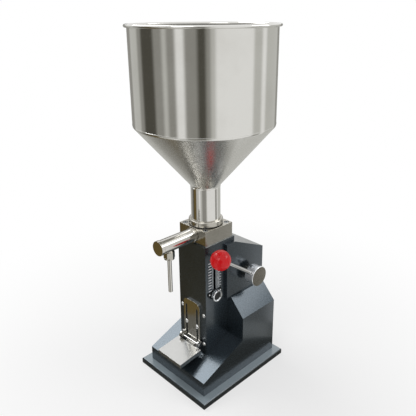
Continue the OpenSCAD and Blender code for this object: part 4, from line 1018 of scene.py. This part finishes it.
@dataclass
class Studio:
    """Floor, reflector cards, lamps and the camera at the photograph's place.

    Lengths are in metres unless a name says mm, and angles in degrees.
    """

    eye: Vector = field(default_factory=lambda: mm(656.55, -637.01, 735.29))
    yaw: float = 45.39
    pitch: float = 19.77
    roll: float = -0.4
    lens: float = 42.42
    sensor_mm: float = 36.0
    shift_x: float = -0.0166
    shift_y: float = -0.0474
    floor_half_mm: float = 20000.0
    floor_t_mm: float = 20.0
    floor_gap_mm: float = 0.2
    lamps: tuple[Lamp, ...] = (
        Lamp("left_box", (-1.3, -0.25, 2.0), 1.1, 16.0),
        Lamp("right_rear_box", (1.5, 1.6, 1.35), 1.2, 11.0),
        Lamp("front_box", (0.6, -2.1, 2.0), 1.2, 10.0),
    )
    aim_z: float = 0.35
    ring_r: float = 1.6
    ring_lift: float = 0.0005
    ring_foot: float = 0.02
    ring_under: float = 0.19
    ring_near: float = 0.252
    ring_top: float = 1.0
    blend: float = 2.5
    blend_share: float = 0.3
    card_step: float = 4.0
    ring: tuple[Card, ...] = (
        Card(-180, -134, Paper.GREY, Paper.PALE, Paper.DIM),
        Card(-134, -109, Paper.PALE, Paper.GREY, Paper.DIM),
        Card(-109, -99, Paper.GREY, Paper.DARK, Paper.DARK),
        Card(-99, -74, Paper.DARK, Paper.WARM, Paper.DIM),
        Card(-74, -59, Paper.GREY, Paper.PALE, Paper.DIM),
        Card(-59, -52, Paper.PALE, Paper.PALE, Paper.PALE),
        Card(-52, -39, Paper.GREY, Paper.WHITE, Paper.PALE),
        Card(-39, -26, Paper.WHITE, Paper.PALE, Paper.PALE),
        Card(-26, -8, Paper.GREY, Paper.GREY, Paper.WHITE),
        Card(-8, 4, Paper.DARK, Paper.GREY, Paper.DIM),
        Card(4, 10, Paper.GREY, Paper.PALE, Paper.GREY),
        Card(10, 17, Paper.PALE, Paper.WHITE, Paper.GREY),
        Card(17, 77, Paper.WHITE, Paper.WHITE, Paper.PALE),
        Card(77, 94, Paper.PALE, Paper.GREY, Paper.PALE),
        Card(94, 104, Paper.WHITE, Paper.WHITE, Paper.GREY),
        Card(104, 142, Paper.PALE, Paper.PALE, Paper.GREY),
        Card(142, 160, Paper.GREY, Paper.PALE, Paper.PALE),
        Card(160, 180, Paper.WHITE, Paper.PALE, Paper.PALE),
    )

    def seen(self, tree: NodeTree) -> NodeSocket:
        """Adds the nodes that give 1 for rays from the camera, also by gloss or glass."""
        path = add_node(tree, "LightPath")
        shares = path.outputs["Is Camera Ray"]
        for kind in ("Is Transmission Ray", "Is Glossy Ray"):
            either = add_node(tree, "Math", {"operation": "MAXIMUM"})
            tree.links.new(shares, either.inputs[0])
            tree.links.new(path.outputs[kind], either.inputs[1])
            shares = either.outputs["Value"]
        return shares

    def paper(self) -> Material:
        """Makes the floor's matt white paper, which fades to plain white far away."""
        material, tree = new_material("white_paper")
        place = add_node(tree, "TexCoord")
        away = add_node(tree, "VectorMath", {"operation": "LENGTH"})
        tree.links.new(place.outputs["Object"], away.inputs[0])
        fade = add_node(
            tree,
            "MapRange",
            {"interpolation_type": "SMOOTHSTEP", "From Min": 0.15, "From Max": 0.85,
             "To Min": 0.55, "To Max": 1.0},
            {"Value": away.outputs["Value"]},
        )
        share = add_node(tree, "Math", {"operation": "MULTIPLY"})
        tree.links.new(fade.outputs["Result"], share.inputs[0])
        tree.links.new(self.seen(tree), share.inputs[1])
        matt = add_node(tree, "BsdfDiffuse", {"Color": linear("#f4f4f4")})
        white = add_node(tree, "Emission", {"Color": (1, 1, 1, 1), "Strength": 1.0})
        mixed = add_node(tree, "MixShader", None, {"Fac": share.outputs["Value"]})
        tree.links.new(matt.outputs["BSDF"], mixed.inputs[1])
        tree.links.new(white.outputs["Emission"], mixed.inputs[2])
        show(tree, mixed.outputs["Shader"])
        return material

    def card_tones(self) -> Material:
        """Makes the even glow of the cards, each corner in the tone that it carries."""
        material, tree = new_material("reflector_card")
        tone = add_node(tree, "Attribute", {"attribute_name": "tone"})
        glow = add_node(tree, "Emission", {"Strength": 1.0},
                        {"Color": tone.outputs["Color"]})
        show(tree, glow.outputs["Emission"])
        return material

    def floor(self) -> None:
        """Lays the paper under the machine."""
        form = Form.block(mm(-self.floor_half_mm, -self.floor_half_mm, -self.floor_t_mm),
                          mm(self.floor_half_mm, self.floor_half_mm, -self.floor_gap_mm))
        obj = new_object("floor", form.bm, self.paper())

    def cards(self) -> None:
        """Stands the ring of reflector cards, each with its foot laid on the floor.

        Only gloss shows them: they are what the polished bowl has its bands from.
        """
        bm = bmesh.new()
        tones = bm.loops.layers.float_color.new("tone")
        columns = []
        for card in self.ring:
            wide = card.end - card.start
            soft = min(self.blend, wide * self.blend_share)
            steps = max(1, round(wide / self.card_step))
            columns += [(card.start + soft + (wide - 2 * soft) * i / steps, card)
                        for i in range(steps + 1)]
        columns.append((columns[0][0] + 360, columns[0][1]))
        rows = []
        for degrees, card in columns:
            turn = math.radians(self.yaw - 90 + degrees)
            out = Vector((math.cos(turn), math.sin(turn), 0))
            line = [(r, self.ring_lift) for r in (
                self.ring_foot, self.ring_under, self.ring_near, self.ring_r)]
            line.append((self.ring_r, self.ring_top))
            rows.append((card, [bm.verts.new(out * r + Vector((0, 0, z))) for r, z in line]))
        for (first, one), (second, two) in zip(rows, rows[1:]):
            for k, part in enumerate(("under", "near", "foot", "upright")):
                face = bm.faces.new((one[k], two[k], two[k + 1], one[k + 1]))
                for loop, card in zip(face.loops, (first, second, second, first)):
                    loop[tones] = linear(getattr(card, part).value)
        obj = new_object("reflector_cards", bm, self.card_tones())
        obj.visible_camera = False
        obj.visible_diffuse = False
        obj.visible_shadow = False

    def hang(self, lamp: Lamp) -> None:
        """Hangs a soft square lamp that faces the middle of the machine."""
        data = bpy.data.lights.new(lamp.name, "AREA")
        data.size = lamp.size
        data.energy = lamp.power
        obj = bpy.data.objects.new(lamp.name, data)
        obj.location = lamp.at
        aim = Vector((0, 0, self.aim_z)) - Vector(lamp.at)
        obj.rotation_euler = aim.to_track_quat("-Z", "Y").to_euler()
        bpy.context.scene.collection.objects.link(obj)

    def sky(self) -> None:
        """Makes a white surround that lights the machine evenly."""
        world = bpy.data.worlds.new("white_surround")
        bpy.context.scene.world = world
        world.use_nodes = True
        tree = world.node_tree
        tree.nodes.clear()
        level = add_node(tree, "MapRange", {"To Min": 0.5, "To Max": 1.0},
                         {"Value": self.seen(tree)})
        light = add_node(tree, "Background", {"Color": (1, 1, 1, 1)},
                         {"Strength": level.outputs["Result"]})
        add_node(tree, "OutputWorld", None, {"Surface": light.outputs["Background"]})

    def camera(self) -> None:
        """Places the camera as the photograph was taken."""
        yaw, pitch, roll = (math.radians(v) for v in (self.yaw, self.pitch, self.roll))
        ahead = Vector((-math.sin(yaw) * math.cos(pitch), math.cos(yaw) * math.cos(pitch),
                        -math.sin(pitch)))
        right = Vector((math.cos(yaw), math.sin(yaw), 0))
        up = right.cross(ahead)
        across = right * math.cos(roll) + up * math.sin(roll)
        above = up * math.cos(roll) - right * math.sin(roll)
        turn = Matrix((across, above, -ahead)).transposed().to_4x4()
        data = bpy.data.cameras.new("photo_camera")
        data.lens = self.lens
        data.sensor_width = self.sensor_mm
        data.shift_x = self.shift_x
        data.shift_y = self.shift_y
        obj = bpy.data.objects.new("photo_camera", data)
        obj.matrix_world = Matrix.Translation(self.eye) @ turn
        bpy.context.scene.collection.objects.link(obj)
        bpy.context.scene.camera = obj

    def build(self) -> None:
        """Sets the stage, the light and the camera."""
        self.floor()
        self.cards()
        for lamp in self.lamps:
            self.hang(lamp)
        self.sky()
        self.camera()
        bpy.context.scene.view_settings.view_transform = "Standard"


def main() -> None:
    """Builds the machine's sub-assemblies in order and the stage round them."""
    logging.basicConfig(level=logging.INFO, format="%(name)s: %(message)s")
    for old in list(bpy.data.objects):
        bpy.data.objects.remove(old)
    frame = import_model()
    nodes = frame["nodes"]
    KeptNodes(nodes).build()
    Housing(nodes).build()
    ScaleAndKnob(nodes).build()
    Bowl().build()
    ValveBlock(nodes).build()
    Outlet(nodes).build()
    Lever(nodes).build()
    DripTray(nodes).build()
    Studio().build()


if __name__ == "__main__":
    main()
